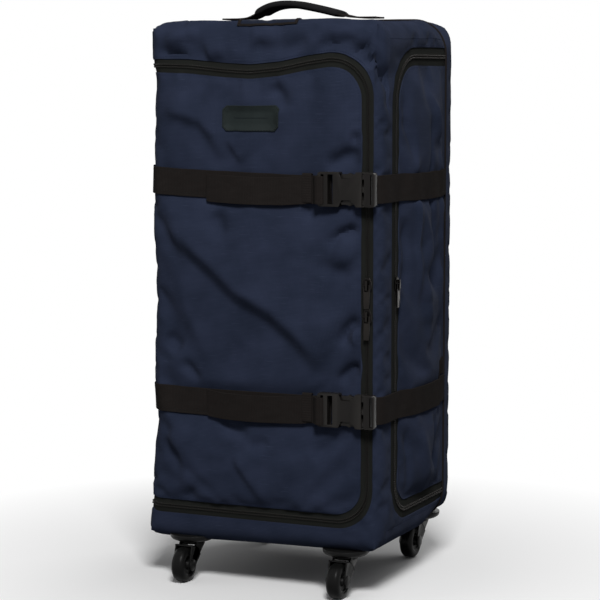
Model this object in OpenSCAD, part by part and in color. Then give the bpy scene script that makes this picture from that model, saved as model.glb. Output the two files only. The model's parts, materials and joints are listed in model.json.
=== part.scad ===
// Rolling duffel bag: a tall soft bag that stands on four swivel casters.
// The front faces -Y, the zipped pocket is on the right (+X) and the floor is z = 0.
// A U-shaped zip lets the front flap fold open round the left edge, and a D-shaped
// zip lets the side pocket fold open round its back seam. Sizes are in millimetres.

/* [Bag] */
// Width across the front
bag_w = 355; // [325:1:400]
// Depth from front to back
bag_d = 330; // [300:1:370]
// Height of the top above the floor
bag_h = 800; // [740:1:860]
// Thickness of the padded fabric
wall = 4; // [3:0.5:5]
// Radius of the upright edges at the front
front_r = 22; // [18:1:26]
// Radius of the upright edges at the back
back_r = 70; // [60:1:80]
// Radius of the back edge of the top
heel_r = 45; // [35:1:50]
// Radius of the other edges of the top and of the bottom
rim_r = 22; // [16:1:24]
// Distance of the seams of the top and the bottom from those faces
seam_in = 27; // [26:1:32]

/* [Front flap] */
// Distance of the top run of the main zip below the top
zip_drop = 65; // [55:1:80]
// Distance of the bottom run of the main zip above the underside
zip_rise = 42; // [38:1:60]
// Distance of the upright run of the main zip from the right side
zip_inset = 15.5; // [13:0.5:19]
// Radius of the corners of the main zip
zip_corner_r = 48; // [30:1:60]
// Distance of the fold of the flap behind the front
fold_in = 32; // [30:1:40]
// How far the flap swells out between the two straps
flap_swell = 7; // [4:1:9]
// How far the flap swells out above and below the straps
flap_swell_ends = 4; // [3:0.5:6]
// Width of the badge
badge_w = 86; // [60:1:100]
// Height of the badge
badge_h = 37; // [25:1:45]
// Distance of the middle of the badge below the top
badge_drop = 137; // [125:1:160]
// Distance of the middle of the badge left of the middle of the bag
badge_left = 13; // [0:1:40]

/* [Zips] */
// Visible width of each zip tape
tape_w = 10; // [9:0.5:11]
// Thickness of a zip tape
tape_t = 2; // [1.5:0.1:2.4]
// Width of each row of teeth
teeth_w = 3; // [2:0.5:4]
// How far the teeth stand out of the fabric
teeth_out = 0.8; // [0.5:0.1:1]
// Length of a slider
slider_l = 20; // [18:1:24]
// Width of a slider
slider_w = 13; // [10:1:15]
// Length of a pull
pull_l = 32; // [26:1:36]

/* [Side pocket] */
// Distance of the upright run of the pocket zip behind the front
pocket_in = 61; // [55:1:75]
// Distance of the top of the pocket zip below the top
pocket_drop = 53; // [45:1:70]
// Distance of the bottom of the pocket zip above the underside
pocket_rise = 46; // [40:1:60]
// Radius of the upper corner of the pocket zip
pocket_top_r = 70; // [50:1:80]
// Radius of the lower corner of the pocket zip
pocket_low_r = 45; // [30:1:60]
// How far the pocket swells out of the side
pocket_bulge = 9; // [6:1:12]
// Depth of the pocket inside the side
pocket_depth = 30; // [24:1:36]

/* [Straps] */
// Width of the webbing
strap_w = 38; // [30:1:40]
// Thickness of the webbing
strap_t = 2.5; // [2:0.1:3]
// Middle of the upper strap below the top
upper_strap_drop = 233; // [220:1:250]
// Middle of the lower strap above the underside
lower_strap_rise = 199; // [185:1:215]
// How far the loose part of a front strap bows out
strap_bow = 8; // [5:1:12]
// Length of a front strap that is sewn flat, from the middle of the front edge's curve
strap_sewn = 75; // [60:1:90]
// Length of the socket half of a buckle
socket_l = 68; // [62:1:72]
// Width of a buckle
buckle_w = 47; // [46:1:52]
// Thickness of a buckle
buckle_t = 12; // [11:0.5:14]
// Length of the clip half of a buckle that shows
clip_l = 15; // [13:0.5:18]

/* [Handles] */
// Overall length of the carry handle with its sewn ends
carry_l = 238; // [220:1:250]
// Length of the arch of the carry handle
carry_arch = 150; // [135:1:165]
// Height of the arch of the carry handle
carry_h = 20; // [16:1:26]
// Thickness of the padding above and below the webbing of the carry handle
carry_pad = 4; // [3:0.5:5]
// Distance of the carry handle in front of the middle of the top
carry_fore = 22; // [10:1:40]
// Distance between the trolley tubes
trolley_span = 140; // [120:1:170]
// Outer radius of the sliding tubes
tube_r = 9; // [8:0.5:10]
// Wall of a tube
tube_wall = 1.5; // [1:0.1:2]
// How far the trolley handle pulls out
trolley_travel = 300; // [250:5:350]

/* [Casters] */
// Diameter of a wheel
wheel_d = 50; // [44:1:56]
// Width of a wheel
wheel_w = 20; // [16:1:24]
// Distance of the wheel's axle from the swivel axis
trail = 29; // [26:1:34]
// Radius of a caster housing
housing_r = 33; // [30:1:36]
// Height of a caster housing below the bag
housing_h = 10.5; // [9:0.5:13]
// Distance of a swivel axis from the middle of the bag
caster_x = 120; // [110:1:125]
// Distance of the front swivel axes behind the front
caster_fore = 26; // [26:1:34]
// Distance of the back swivel axes before the back
caster_aft = 28; // [26:1:34]

/* [Hidden] */
$fn = 48;
// Straight pieces in each quarter of a soft corner, and in half of a shallow arch
arc_steps = 5;
// Gap between pieces that move apart
clear = 0.4;
// Radial gap of a pin or tube that turns or slides in its bore
run = 0.05;
// Depth of a zip tape under the surface of the fabric
tape_in = 0.5;
// Stand-off of the straps where they cross a zip
strap_lift = 1.5;
// Thickness of the stiffening boards and of the pocket's liner
board_t = 3;
liner_t = 2;
// How far the side seams at the back lie before the curve of the back
seam_lap = 7;

navy = "#2a3044";
webbing = "#1d1c1c";
black = "#242424";
gunmetal = "#6b6b6b";
silver = "#b8babd";
rubber = "#181818";

// Casters: the heights build up from the floor
crown_gap = clear;
crown_t = 3.5;
wheel_r = wheel_d / 2;
wheel_gap = 1.6;
arm_gap = 1;
arm_t = 2.8;
crown_z = wheel_d + wheel_gap;
base_z = crown_z + crown_t + crown_gap + housing_h;
crown_r = wheel_w / 2 + arm_gap + arm_t + 3;
stem_r = 5;
stem_head_r = 8;
axle_r = 3;
boss_r = 7;
hub_r = wheel_r - 9;
screw_r = 2;
screw_head_r = 4;
screw_head_t = 2.2;
screw_l = 8;
screw_pitch_r = 20;
SCREW_ANGLES = [10, 90, 170];

// Faces, seams and folds of the bag
half_w = bag_w / 2;
half_d = bag_d / 2;
fold_y = fold_in - half_d;
seam_y = half_d - back_r - seam_lap;
top_seam = bag_h - seam_in;
low_seam = base_z + seam_in;
floor_z = base_z + wall + board_t;

// Main zip
zip_x = half_w - zip_inset;
zip_z1 = bag_h - zip_drop;
zip_z0 = base_z + zip_rise;
zip_end = 3;

// Side pocket
pocket_y = pocket_in - half_d;
pocket_z1 = bag_h - pocket_drop;
pocket_z0 = base_z + pocket_rise;
dome_y0 = pocket_y + tape_w;
dome_y1 = seam_y - clear;
dome_z0 = pocket_z0 + tape_w;
dome_z1 = pocket_z1 - tape_w;

// Straps and buckles
upper_z = bag_h - upper_strap_drop;
lower_z = base_z + lower_strap_rise;
strap_mid = (upper_z + lower_z) / 2;
sewn_x = strap_sewn + front_r - half_w;
socket_x1 = zip_x - clear / 2;
socket_x0 = socket_x1 - socket_l;
clip_x0 = zip_x + clear / 2;
clip_x1 = clip_x0 + clip_l;
buckle_y = -half_d - strap_lift - strap_t;
keeper_w = 6;
keeper_t = 1.6;
keeper_x = socket_x0 - keeper_w - 12;
strap_ease = 8;
strap_back = 5;
strap_turn_r = 10;
swell_in = 6;
swell_gap = 3.5;
prong_l = 37;
prong_w = 7;
socket_wall = 2.4;
window_l = 20;
window_cut = 5.5;

// Zip sliders: their plates clear the teeth and carry a crown that holds the pull's bar
plate_t = 2;
plate_out = teeth_out + clear;
crown_room = 2.7;
crown_bar = 1.6;
pull_t = 2;
pull_w = 11;
pull_bar = 2;
bar_out = plate_out + plate_t + crown_room / 2;
slider_meet = strap_mid - 11;
upper_slider_z = slider_meet + pull_l + clear;
lower_slider_z = slider_meet - slider_l / 2 - clear;
pocket_slider_z = strap_mid + 18;

// Trolley handle: a cup in the back of the top holds the grip
tube_in = 38;
tube_y = half_d - tube_in;
sleeve_r = tube_r + run + tube_wall;
cup_wall = 2.5;
cup_h = 36;
cup_out = 1.5;
cup_floor = 3;
cup_corner = 5;
grip_d = 21;
grip_h = 24;
grip_gap = 1;
grip_w = trolley_span + 2 * sleeve_r + 10;
cup_w = grip_w + 2 * (grip_gap + cup_wall);
finger_room = 22;
cup_y1 = tube_y + grip_d / 2 + grip_gap + cup_wall;
cup_y0 = tube_y - grip_d / 2 - finger_room - cup_wall;
cup_z = bag_h - cup_h;
grip_z = bag_h - grip_h - 2;
button_w = 34;
button_d = 10;
button_h = 5;
button_out = 1;
button_room = 4.5;

// The frame's origin lies under the middle of the whole outline
front_reach = half_d - caster_fore + trail + wheel_r;
back_reach = max(half_d, half_d - caster_aft + housing_r);
right_reach = half_w + pocket_bulge + strap_lift + strap_t;
left_reach = half_w + strap_t;
shift_x = (left_reach - right_reach) / 2;
shift_y = (front_reach - back_reach) / 2;

// Corners of the bag: name, side and end
CORNERS = [
    ["front_left", -1, -1],
    ["front_right", 1, -1],
    ["back_left", -1, 1],
    ["back_right", 1, 1],
];
CASTER_PIECES = ["fork", "axle", "hub", "tyre"];

// Points of an arc about a centre
function arc(centre, r, from, to, steps = arc_steps) = [
    for (i = [0:steps])
        let (a = from + (to - from) * i / steps)
        centre + r * [cos(a), sin(a)]
];

// Rectangle with a radius at each corner, from the low corner anticlockwise
function rounded(low, high, r) = concat(
    arc([low.x + r[0], low.y + r[0]], r[0], 180, 270),
    arc([high.x - r[1], low.y + r[1]], r[1], 270, 360),
    arc([high.x - r[2], high.y - r[2]], r[2], 0, 90),
    arc([low.x + r[3], high.y - r[3]], r[3], 90, 180)
);

// Shallow arch over the line from a to b: each point is its height and its place along the line
function arch(a, b, height, out = 0) =
    let (
        half = (b - a) / 2,
        r = (half * half + height * height) / (2 * height),
        sweep = asin(half / r)
    )
    [
        for (i = [-arc_steps:arc_steps])
            let (t = sweep * i / arc_steps)
            [height - r + (r + out) * cos(t), (a + b) / 2 + (r + out) * sin(t)]
    ];

function reverse(points) = [for (i = [len(points) - 1:-1:0]) points[i]];

// Outline of the main zip, seen from the front, grown by a distance
function flap_outline(grow) = rounded(
    [-bag_w, zip_z0 - grow],
    [zip_x + grow, zip_z1 + grow],
    [1, zip_corner_r + grow, zip_corner_r + grow, 1]
);

// Outline of the pocket zip in Y and Z, grown by a distance, with its own distance at the back
function pocket_outline(grow, back = 0) = rounded(
    [pocket_y - grow, pocket_z0 - grow],
    [seam_y + back, pocket_z1 + grow],
    [pocket_low_r + grow, 1, 1, pocket_top_r + grow]
);

// Route of a front strap seen from above: round the left edge, flat, then bowed to the buckle
function front_route(out) = concat(
    [[-half_w - out, fold_y - strap_back]],
    arc([front_r - half_w, front_r - half_d], front_r + out, 180, 270),
    [[sewn_x - strap_ease, -half_d - out]],
    [for (p = arch(sewn_x, keeper_x - strap_ease, strap_bow, out)) [p.y, -half_d - strap_lift - p.x]],
    [[socket_x0 + socket_l / 4, -half_d - strap_lift - out]]
);

// Route of a side strap seen from above: from the clip round the right edge and over the pocket
function side_route(out) = concat(
    [[clip_x0 + clear, -half_d - out]],
    arc([half_w - strap_turn_r, strap_turn_r - half_d], strap_turn_r + out, 270, 360),
    [for (p = arch(dome_y0, dome_y1, pocket_bulge, out)) [half_w + p.x, p.y]]
);

// Swivel axis of a caster
function pivot(c) = [c[1] * caster_x, c[2] < 0 ? caster_fore - half_d : half_d - caster_aft, 0];

// Moves a piece from the middle of the bag to the frame of the whole object
module place() {
    translate([shift_x, shift_y, 0]) children();
}

// Extrudes an outline drawn in X and Y
module along_z(z0, z1) {
    translate([0, 0, z0]) linear_extrude(z1 - z0) children();
}

// Extrudes an outline drawn in Y and Z
module along_x(x0, x1) {
    translate([x0, 0, 0]) rotate([90, 0, 90]) linear_extrude(x1 - x0) children();
}

// Extrudes an outline drawn in X and Z
module along_y(y0, y1) {
    translate([0, y1, 0]) rotate([90, 0, 0]) linear_extrude(y1 - y0) children();
}

// Whole form of the bag, drawn in by a distance all round
module bag_form(inset) {
    x = half_w - inset;
    y = half_d - inset;
    z0 = base_z + inset;
    z1 = bag_h - inset;
    front = front_r - inset;
    back = back_r - inset;
    heel = heel_r - inset;
    rim = rim_r - inset;
    intersection() {
        along_z(z0, z1) polygon(rounded([-x, -y], [x, y], [front, front, back, back]));
        along_x(-bag_w, bag_w) polygon(rounded([-y, z0], [y, z1], [rim, rim, heel, rim]));
        along_y(-bag_d, bag_d) polygon(rounded([-x, z0], [x, z1], [rim, rim, rim, rim]));
    }
}

// Layer of the bag's wall between two depths, cut to a range of depth from front to back
module layer(from, to, y0, y1) {
    intersection() {
        difference() {
            bag_form(from);
            bag_form(to);
        }
        translate([-bag_w, y0, 0]) cube([2 * bag_w, y1 - y0, 2 * bag_h]);
    }
}

// Fabric between the front and back seams, cut to a range of height
module middle_fabric(z0, z1) {
    intersection() {
        layer(0, wall, fold_y, seam_y);
        translate([-bag_w, -bag_d, z0]) cube([2 * bag_w, 2 * bag_d, z1 - z0]);
    }
}

// Keeps one side of the bag: -1 is the left, 1 the right
module one_side(side) {
    intersection() {
        children();
        translate([side < 0 ? -bag_w : 0, -bag_d, 0]) cube([bag_w, 2 * bag_d, 2 * bag_h]);
    }
}

// Band along the main zip between two distances from its middle
module flap_band(inner, outer) {
    difference() {
        along_y(-bag_d, fold_y + 1) polygon(flap_outline(outer));
        along_y(-bag_d - 1, fold_y + 2) polygon(flap_outline(inner));
    }
}

// Band along the pocket zip between two distances from its middle and two depths
module pocket_band(inner, outer, x0, x1, back) {
    difference() {
        along_x(x0, x1) polygon(pocket_outline(outer, -back));
        along_x(x0 - 1, x1 + 1) polygon(pocket_outline(inner, 1));
    }
}

// Holes in the bottom fabric for the casters' stems and screws
module caster_holes() {
    for (c = CORNERS) {
        translate(pivot(c)) cylinder(r = stem_head_r + clear, h = low_seam);
        screw_places(c) cylinder(r = screw_r + clear, h = low_seam);
    }
}

module front_border() {
    color(navy) place() difference() {
        layer(0, wall, -bag_d, fold_y);
        along_y(-bag_d, fold_y + 1) polygon(flap_outline(tape_w));
        caster_holes();
    }
}

module left_side_panel() {
    color(navy) place() one_side(-1) middle_fabric(low_seam, top_seam);
}

module right_side_panel() {
    color(navy) place() difference() {
        one_side(1) middle_fabric(low_seam, top_seam);
        along_x(0, bag_w) polygon(pocket_outline(tape_w, 1));
    }
}

module top_panel() {
    color(navy) place() middle_fabric(top_seam, 2 * bag_h);
}

module bottom_panel() {
    color(navy) place() difference() {
        middle_fabric(0, low_seam);
        caster_holes();
    }
}

module back_panel() {
    color(navy) place() difference() {
        layer(0, wall, seam_y, bag_d);
        along_z(cup_z, 2 * bag_h) polygon(cup_outline(0));
        caster_holes();
    }
}

// Fabric tray behind the pocket zip
module pocket_liner() {
    rim = seam_lap - 1;
    color(navy) place() difference() {
        along_x(half_w - pocket_depth, half_w - wall) polygon(pocket_outline(tape_w + rim, rim));
        along_x(half_w - pocket_depth + liner_t, half_w) polygon(pocket_outline(tape_w, 0));
    }
}

// Upright board that carries the trolley tubes
module back_board() {
    board_y = tube_y - sleeve_r - 1 - board_t;
    color(black) place() along_y(board_y, board_y + board_t)
        polygon(rounded([-cup_w / 2, floor_z], [cup_w / 2, cup_z], [1, 1, 1, 1]));
}

// Board in the bottom that the casters are screwed to
module bottom_board() {
    x = half_w - rim_r - 2;
    y = half_d - rim_r - 2;
    corner = back_r / 2;
    color(black) place() difference() {
        along_z(base_z + wall, floor_z) polygon(rounded([-x, -y], [x, y], [10, 10, corner, corner]));
        for (c = CORNERS) screw_places(c) cylinder(r = screw_r + run, h = low_seam);
    }
}

// One half of the main zip: tape and teeth on one side of its middle
module main_zip_half(near, tape, teeth, end) {
    depth = tape_in + tape_t;
    intersection() {
        layer(tape_in, depth, -bag_d, fold_y - end);
        flap_band(min(near, tape), max(near, tape));
    }
    intersection() {
        layer(-teeth_out, depth, -bag_d, fold_y - end);
        flap_band(min(near, teeth), max(near, teeth));
    }
}

module main_zip_border_tape() {
    color(webbing) place() main_zip_half(clear / 2, tape_w, teeth_w, 0);
}

module main_zip_flap_tape() {
    color(webbing) place() main_zip_half(-clear / 2, -tape_w, -teeth_w, zip_end);
}

// One half of the pocket zip
module pocket_zip_half(near, tape, teeth, back) {
    depth = tape_in + tape_t;
    pocket_band(min(near, tape), max(near, tape), half_w - depth, half_w - tape_in, back);
    pocket_band(min(near, teeth), max(near, teeth), half_w - depth, half_w + teeth_out, back);
}

module pocket_zip_border_tape() {
    color(webbing) place() pocket_zip_half(clear / 2, tape_w, teeth_w, 0);
}

module pocket_zip_panel_tape() {
    color(webbing) place() pocket_zip_half(-clear / 2, -tape_w, -teeth_w, zip_end);
}

module left_side_straps() {
    color(webbing) place() for (z = [lower_z, upper_z])
        translate([-half_w - strap_t, fold_y + strap_back, z - strap_w / 2])
            cube([strap_t, seam_y - fold_y - strap_back, strap_w]);
}

// Front view of the carry handle between two heights over its underside
module carry_band(low, high) {
    foot = carry_l / 2;
    rise = arch(-carry_arch / 2, carry_arch / 2, carry_h, high);
    under = arch(-carry_arch / 2, carry_arch / 2, carry_h, low);
    top_line = concat([[-foot, high]], [for (p = rise) [p.y, p.x]], [[foot, high]]);
    low_line = concat([[-foot, low]], [for (p = under) [p.y, p.x]], [[foot, low]]);
    polygon(concat(low_line, reverse(top_line)));
}

module carry_handle_webbing() {
    y = -carry_fore;
    color(webbing) place() translate([0, 0, bag_h])
        along_y(y - strap_w / 2, y + strap_w / 2) carry_band(0, strap_t);
}

module carry_handle_grip() {
    y = -carry_fore;
    grip = carry_arch * 0.36;
    half = strap_w / 2 + carry_pad;
    color(webbing) place() translate([0, 0, bag_h]) difference() {
        intersection() {
            along_y(y - half, y + half) carry_band(-carry_pad, strap_t + carry_pad);
            translate([-grip, -bag_d, 0]) cube([2 * grip, 2 * bag_d, bag_h]);
        }
        along_y(y - strap_w / 2, y + strap_w / 2) carry_band(0, strap_t);
    }
}

// Flat name-card window on the front of the top
module id_window() {
    window_w = 91;
    window_d = 34;
    window_t = 1.2;
    window_r = 3;
    off_middle = 10;
    off_seam = 4;
    low = [off_middle - window_w / 2, fold_y + off_seam];
    high = low + [window_w, window_d];
    color(black) place() along_z(bag_h, bag_h + window_t)
        polygon(rounded(low, high, [for (i = [1:4]) window_r]));
}

// Plan of the trolley's cup, drawn in by a distance
function cup_outline(inset) = rounded(
    [inset - cup_w / 2, cup_y0 + inset],
    [cup_w / 2 - inset, cup_y1 - inset],
    [for (i = [1:4]) cup_corner - inset / 2]
);

// Repeats a piece at both trolley tubes
module at_tubes() {
    for (side = [-1, 1]) translate([side * trolley_span / 2, tube_y, 0]) children();
}

module trolley_outer_tubes() {
    color(silver) place() at_tubes() translate([0, 0, floor_z]) difference() {
        cylinder(r = sleeve_r, h = cup_z - floor_z);
        translate([0, 0, -1]) cylinder(r = tube_r + run, h = cup_z - floor_z + 2);
    }
}

module trolley_bezel() {
    color(black) place() difference() {
        along_z(cup_z, bag_h + cup_out) polygon(cup_outline(0));
        along_z(cup_z + cup_floor, 2 * bag_h) polygon(cup_outline(cup_wall));
        at_tubes() translate([0, 0, floor_z]) cylinder(r = tube_r + run, h = bag_h);
    }
}

module trolley_inner_tubes() {
    foot = cup_z - 2 * trolley_travel;
    color(silver) place() at_tubes() translate([0, 0, foot]) difference() {
        cylinder(r = tube_r, h = grip_z - foot);
        translate([0, 0, -1]) cylinder(r = tube_r - tube_wall, h = grip_z - foot + 2);
    }
}

module trolley_grip() {
    low = [-grip_w / 2, tube_y - grip_d / 2];
    room = [button_w / 2 + clear, button_d / 2 + clear];
    color(black) place() difference() {
        along_z(grip_z, grip_z + grip_h) polygon(rounded(low, [-low.x, low.y + grip_d], [6, 6, 6, 6]));
        along_z(grip_z + grip_h + button_out - button_h - button_room, bag_h * 2)
            translate([0, tube_y]) polygon(rounded(-room, room, [3, 3, 3, 3]));
    }
}

module trolley_button() {
    top = grip_z + grip_h + button_out;
    size = [button_w / 2, button_d / 2];
    color(gunmetal) place() along_z(top - button_h, top)
        translate([0, tube_y]) polygon(rounded(-size, size, [3, 3, 3, 3]));
}

// Swelling of the flap between two heights, drawn in by a distance all round
module swelling(low, high, height, inset) {
    y0 = wall / 2 - half_d;
    x0 = front_r - half_w;
    x1 = zip_x - tape_w - swell_in;
    intersection() {
        along_y(-bag_d, y0) polygon(flap_outline(-tape_w - swell_in - inset));
        along_z(low + inset, high - inset) polygon(concat(
            [[x0, y0]],
            [for (p = arch(x0, x1, height)) [p.y, -half_d - p.x]],
            [[x1, y0]]
        ));
        along_x(x0 + inset, x1) polygon(concat(
            [[y0, low]],
            [for (p = arch(low, high, height)) [-half_d - p.x, p.y]],
            [[y0, high]]
        ));
    }
}

// Swelling above the upper strap, which carries the badge
module top_swelling(inset) {
    swelling(upper_z + buckle_w / 2 + swell_gap, zip_z1 - tape_w - swell_in, flap_swell_ends, inset);
}

// All the swellings of the flap: the straps draw it in between them
module flap_swellings(inset) {
    beside = buckle_w / 2 + swell_gap;
    top_swelling(inset);
    swelling(lower_z + beside, upper_z - beside, flap_swell, inset);
    swelling(zip_z0 + tape_w + swell_in, lower_z - beside, flap_swell_ends, inset);
}

module flap_panel() {
    color(navy) place() difference() {
        union() {
            intersection() {
                layer(0, wall, -bag_d, fold_y - clear);
                along_y(-bag_d, fold_y + 1) polygon(flap_outline(-tape_w));
            }
            flap_swellings(0);
        }
        translate([0, wall, 0]) flap_swellings(wall);
    }
}

// Plain patch with cut corners, curved like the flap under it
module badge_patch() {
    cut = 6;
    thick = 2;
    x = badge_w / 2;
    z = badge_h / 2;
    outline = [
        [-x, -z + cut], [-x + cut, -z], [x - cut, -z], [x, -z + cut],
        [x, z - cut], [x - cut, z], [-x + cut, z], [-x, z - cut],
    ];
    color(rubber) place() difference() {
        intersection() {
            translate([-badge_left, 0, bag_h - badge_drop]) along_y(-bag_d, -half_d) polygon(outline);
            translate([0, -thick, 0]) top_swelling(0);
        }
        top_swelling(0);
    }
}

// Webbing of a front strap at a height
module front_strap(z) {
    color(webbing) place() along_z(z - strap_w / 2, z + strap_w / 2)
        polygon(concat(front_route(strap_t), reverse(front_route(0))));
}

module upper_front_strap() {
    front_strap(upper_z);
}

module lower_front_strap() {
    front_strap(lower_z);
}

// Loops that hold the front straps before the buckles
module strap_keepers() {
    fit = 0.1;
    y1 = -half_d;
    y0 = buckle_y - keeper_t;
    z = strap_w / 2 + keeper_t;
    color(webbing) place() for (height = [lower_z, upper_z]) translate([0, 0, height]) difference() {
        along_x(keeper_x, keeper_x + keeper_w) polygon([[y0, -z], [y1, -z], [y1, z], [y0, z]]);
        translate([keeper_x - 1, buckle_y - fit, -strap_w / 2 - fit])
            cube([keeper_w + 2, strap_t + 2 * fit, strap_w + 2 * fit]);
    }
}

// Slot across a buckle for the webbing, from x on
module strap_slot(x, w) {
    translate([x, buckle_y - buckle_t - 1, -strap_w / 2 - 1]) cube([w, buckle_t + 2, strap_w + 2]);
}

// Socket half of a buckle: ladder slots on the left, a mouth on the right and a window each side
module buckle_socket(z) {
    half = buckle_w / 2;
    mouth = half - socket_wall;
    mouth_x = socket_x1 - prong_l - 2;
    window_x = socket_x1 - prong_l + 6;
    color(black) place() translate([0, 0, z]) difference() {
        along_y(buckle_y - buckle_t, buckle_y)
            polygon(rounded([socket_x0, -half], [socket_x1, half], [4, 2, 2, 4]));
        strap_slot(socket_x0 + 5, 4);
        strap_slot(socket_x0 + 15, 5);
        translate([mouth_x, buckle_y - buckle_t + socket_wall, -mouth])
            cube([prong_l + 10, buckle_t - 2 * socket_wall, 2 * mouth]);
        for (side = [-1, 1]) along_y(buckle_y - bag_d, buckle_y + 1) polygon([
            [window_x, side * (half + 1)],
            [window_x + window_l, side * (half + 1)],
            [window_x + window_l - 4, side * (half - window_cut)],
            [window_x + 4, side * (half - window_cut)],
        ]);
    }
}

module upper_buckle_socket() {
    buckle_socket(upper_z);
}

module lower_buckle_socket() {
    buckle_socket(lower_z);
}

// Clip half of a buckle: the bars outside the socket
module buckle_clip(z) {
    half = buckle_w / 2;
    color(black) place() translate([0, 0, z]) difference() {
        along_y(buckle_y - buckle_t, buckle_y)
            polygon(rounded([clip_x0, -half], [clip_x1, half], [2, 4, 4, 2]));
        strap_slot(clip_x1 - 6, 3);
    }
}

module upper_buckle_clip() {
    buckle_clip(upper_z);
}

module lower_buckle_clip() {
    buckle_clip(lower_z);
}

// Springy arms and middle guide of both clips, inside the sockets
module buckle_prongs() {
    reach = buckle_w / 2 - socket_wall - clear;
    inner = reach - prong_w;
    x0 = clip_x0 - prong_l;
    pad = [x0 + 11, x0 + 15, x0 + 19];
    y0 = buckle_y - buckle_t + socket_wall + clear;
    y1 = buckle_y - socket_wall - clear;
    color(black) place() for (z = [lower_z, upper_z]) translate([0, 0, z]) {
        for (side = [-1, 1]) along_y(y0, y1) polygon([
            [clip_x0, side * inner], [x0 + 4, side * inner], [x0, side * (inner + 2)],
            [x0 + 3, side * reach], [pad[0], side * reach],
            [pad[1], side * (buckle_w / 2 - 1)], [pad[2], side * reach], [clip_x0, side * reach],
        ]);
        along_y(y0 + 1, y1 - 1) polygon(rounded([x0 + 6, -4], [clip_x0, 4], [2, 0.5, 0.5, 2]));
    }
}

module pocket_dome(inset) {
    x0 = half_w - wall - 1;
    intersection() {
        along_x(half_w - wall, half_w + 2 * pocket_bulge)
            polygon(pocket_outline(-tape_w - inset, -clear - inset));
        along_z(0, bag_h) polygon(concat(
            [[x0, dome_y0]],
            [for (p = arch(dome_y0, dome_y1, pocket_bulge)) [half_w + p.x, p.y]],
            [[x0, dome_y1]]
        ));
        along_y(-bag_d, bag_d) polygon(concat(
            [[x0, dome_z0]],
            [for (p = arch(dome_z0, dome_z1, pocket_bulge)) [half_w + p.x, p.y]],
            [[x0, dome_z1]]
        ));
    }
}

// Swelling front of the side pocket
module pocket_panel() {
    color(navy) place() difference() {
        pocket_dome(0);
        translate([-wall, 0, 0]) pocket_dome(wall);
    }
}

// Webbing of a side strap at a height
module side_strap(z) {
    color(webbing) place() along_z(z - strap_w / 2, z + strap_w / 2)
        polygon(concat(side_route(strap_lift + strap_t), reverse(side_route(strap_lift))));
}

module upper_side_strap() {
    side_strap(upper_z);
}

module lower_side_strap() {
    side_strap(lower_z);
}

// Plain tab sewn into the back seam over the lower strap
module seam_label() {
    gap = 0.3;
    thick = 1;
    last = 2 * arc_steps;
    from = last - 2;
    inner = arch(dome_y0, dome_y1, pocket_bulge, gap);
    outer = arch(dome_y0, dome_y1, pocket_bulge, gap + thick);
    points = concat(
        [for (i = [from:last]) outer[i]],
        [for (i = [last:-1:from]) inner[i]]
    );
    label_h = 25;
    rise = 2;
    z = lower_z + strap_w / 2 + rise;
    color(rubber) place() along_z(z, z + label_h) polygon([for (p = points) [half_w + p.x, p.y]]);
}

// Zip slider flat in X and Z with its middle at the origin: plate, and crown over the pull's bar
module slider_shape() {
    w = slider_w / 2;
    l = slider_l / 2;
    crown_l = slider_l / 3;
    crown_w = 1.8;
    color(gunmetal) {
        along_y(-plate_out - plate_t, -plate_out)
            polygon([
                [-w + 3, -l], [w - 3, -l], [w, -2], [w, l - 4],
                [w - 4, l], [-w + 4, l], [-w, l - 4], [-w, -2],
            ]);
        translate([-crown_w, -plate_out - plate_t - crown_room - crown_bar, -crown_l]) difference() {
            cube([2 * crown_w, crown_room + crown_bar, 2 * crown_l]);
            translate([-1, crown_bar, crown_l - crown_room / 2 - 0.3])
                cube([2 * crown_w + 2, crown_room + 1, crown_room + 0.6]);
        }
    }
}

// Pull that hangs from a slider: a bar through the crown, two arms and a tab
module pull_shape() {
    w = pull_w / 2;
    room = slider_l / 3 + 2;
    arm = w - 2;
    color(gunmetal) {
        translate([-w, -bar_out, 0]) rotate([0, 90, 0]) cylinder(r = pull_bar / 2, h = pull_w, $fn = 24);
        along_y(-bar_out - pull_t / 2, -bar_out + pull_t / 2) difference() {
            polygon([[-w, 0], [w, 0], [w - 1.5, -pull_l], [1.5 - w, -pull_l]]);
            polygon([[-arm, 1], [arm, 1], [arm - 0.5, -room], [0.5 - arm, -room]]);
        }
    }
}

// Turns a slider or a pull from the front to the right side
module on_side() {
    rotate([0, 0, 90]) children();
}

module upper_slider() {
    place() translate([zip_x, -half_d, upper_slider_z]) slider_shape();
}

module upper_pull() {
    place() translate([zip_x, -half_d, upper_slider_z]) pull_shape();
}

module lower_slider() {
    place() translate([zip_x, -half_d, lower_slider_z]) mirror([0, 0, 1]) slider_shape();
}

module lower_pull() {
    place() translate([zip_x, -half_d, lower_slider_z]) pull_shape();
}

module pocket_slider() {
    place() translate([half_w, pocket_y, pocket_slider_z]) on_side() slider_shape();
}

module pocket_pull() {
    place() translate([half_w, pocket_y, pocket_slider_z]) on_side() pull_shape();
}

// Repeats a piece at the screws of one caster, which lie on the inner side of its axis
module screw_places(c) {
    translate(pivot(c)) for (a = SCREW_ANGLES)
        translate([screw_pitch_r * cos(a), -c[2] * screw_pitch_r * sin(a), 0]) children();
}

// Bowl-shaped housings under the corners, with a bore for the swivel stem
module caster_housings() {
    neck = crown_r + 2;
    lip = 3;
    z0 = base_z - housing_h;
    curve = [
        for (a = [0:18:90])
            [neck + (housing_r - neck) * sin(a), z0 + (housing_h - lip) * (1 - cos(a))]
    ];
    bore = stem_r + run;
    color(black) place() for (c = CORNERS) difference() {
        translate(pivot(c)) rotate_extrude()
            polygon(concat([[bore, z0]], curve, [[housing_r, base_z], [bore, base_z]]));
        translate([0, 0, base_z - screw_l]) screw_places(c) cylinder(r = screw_r + run, h = base_z);
    }
}

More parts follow.
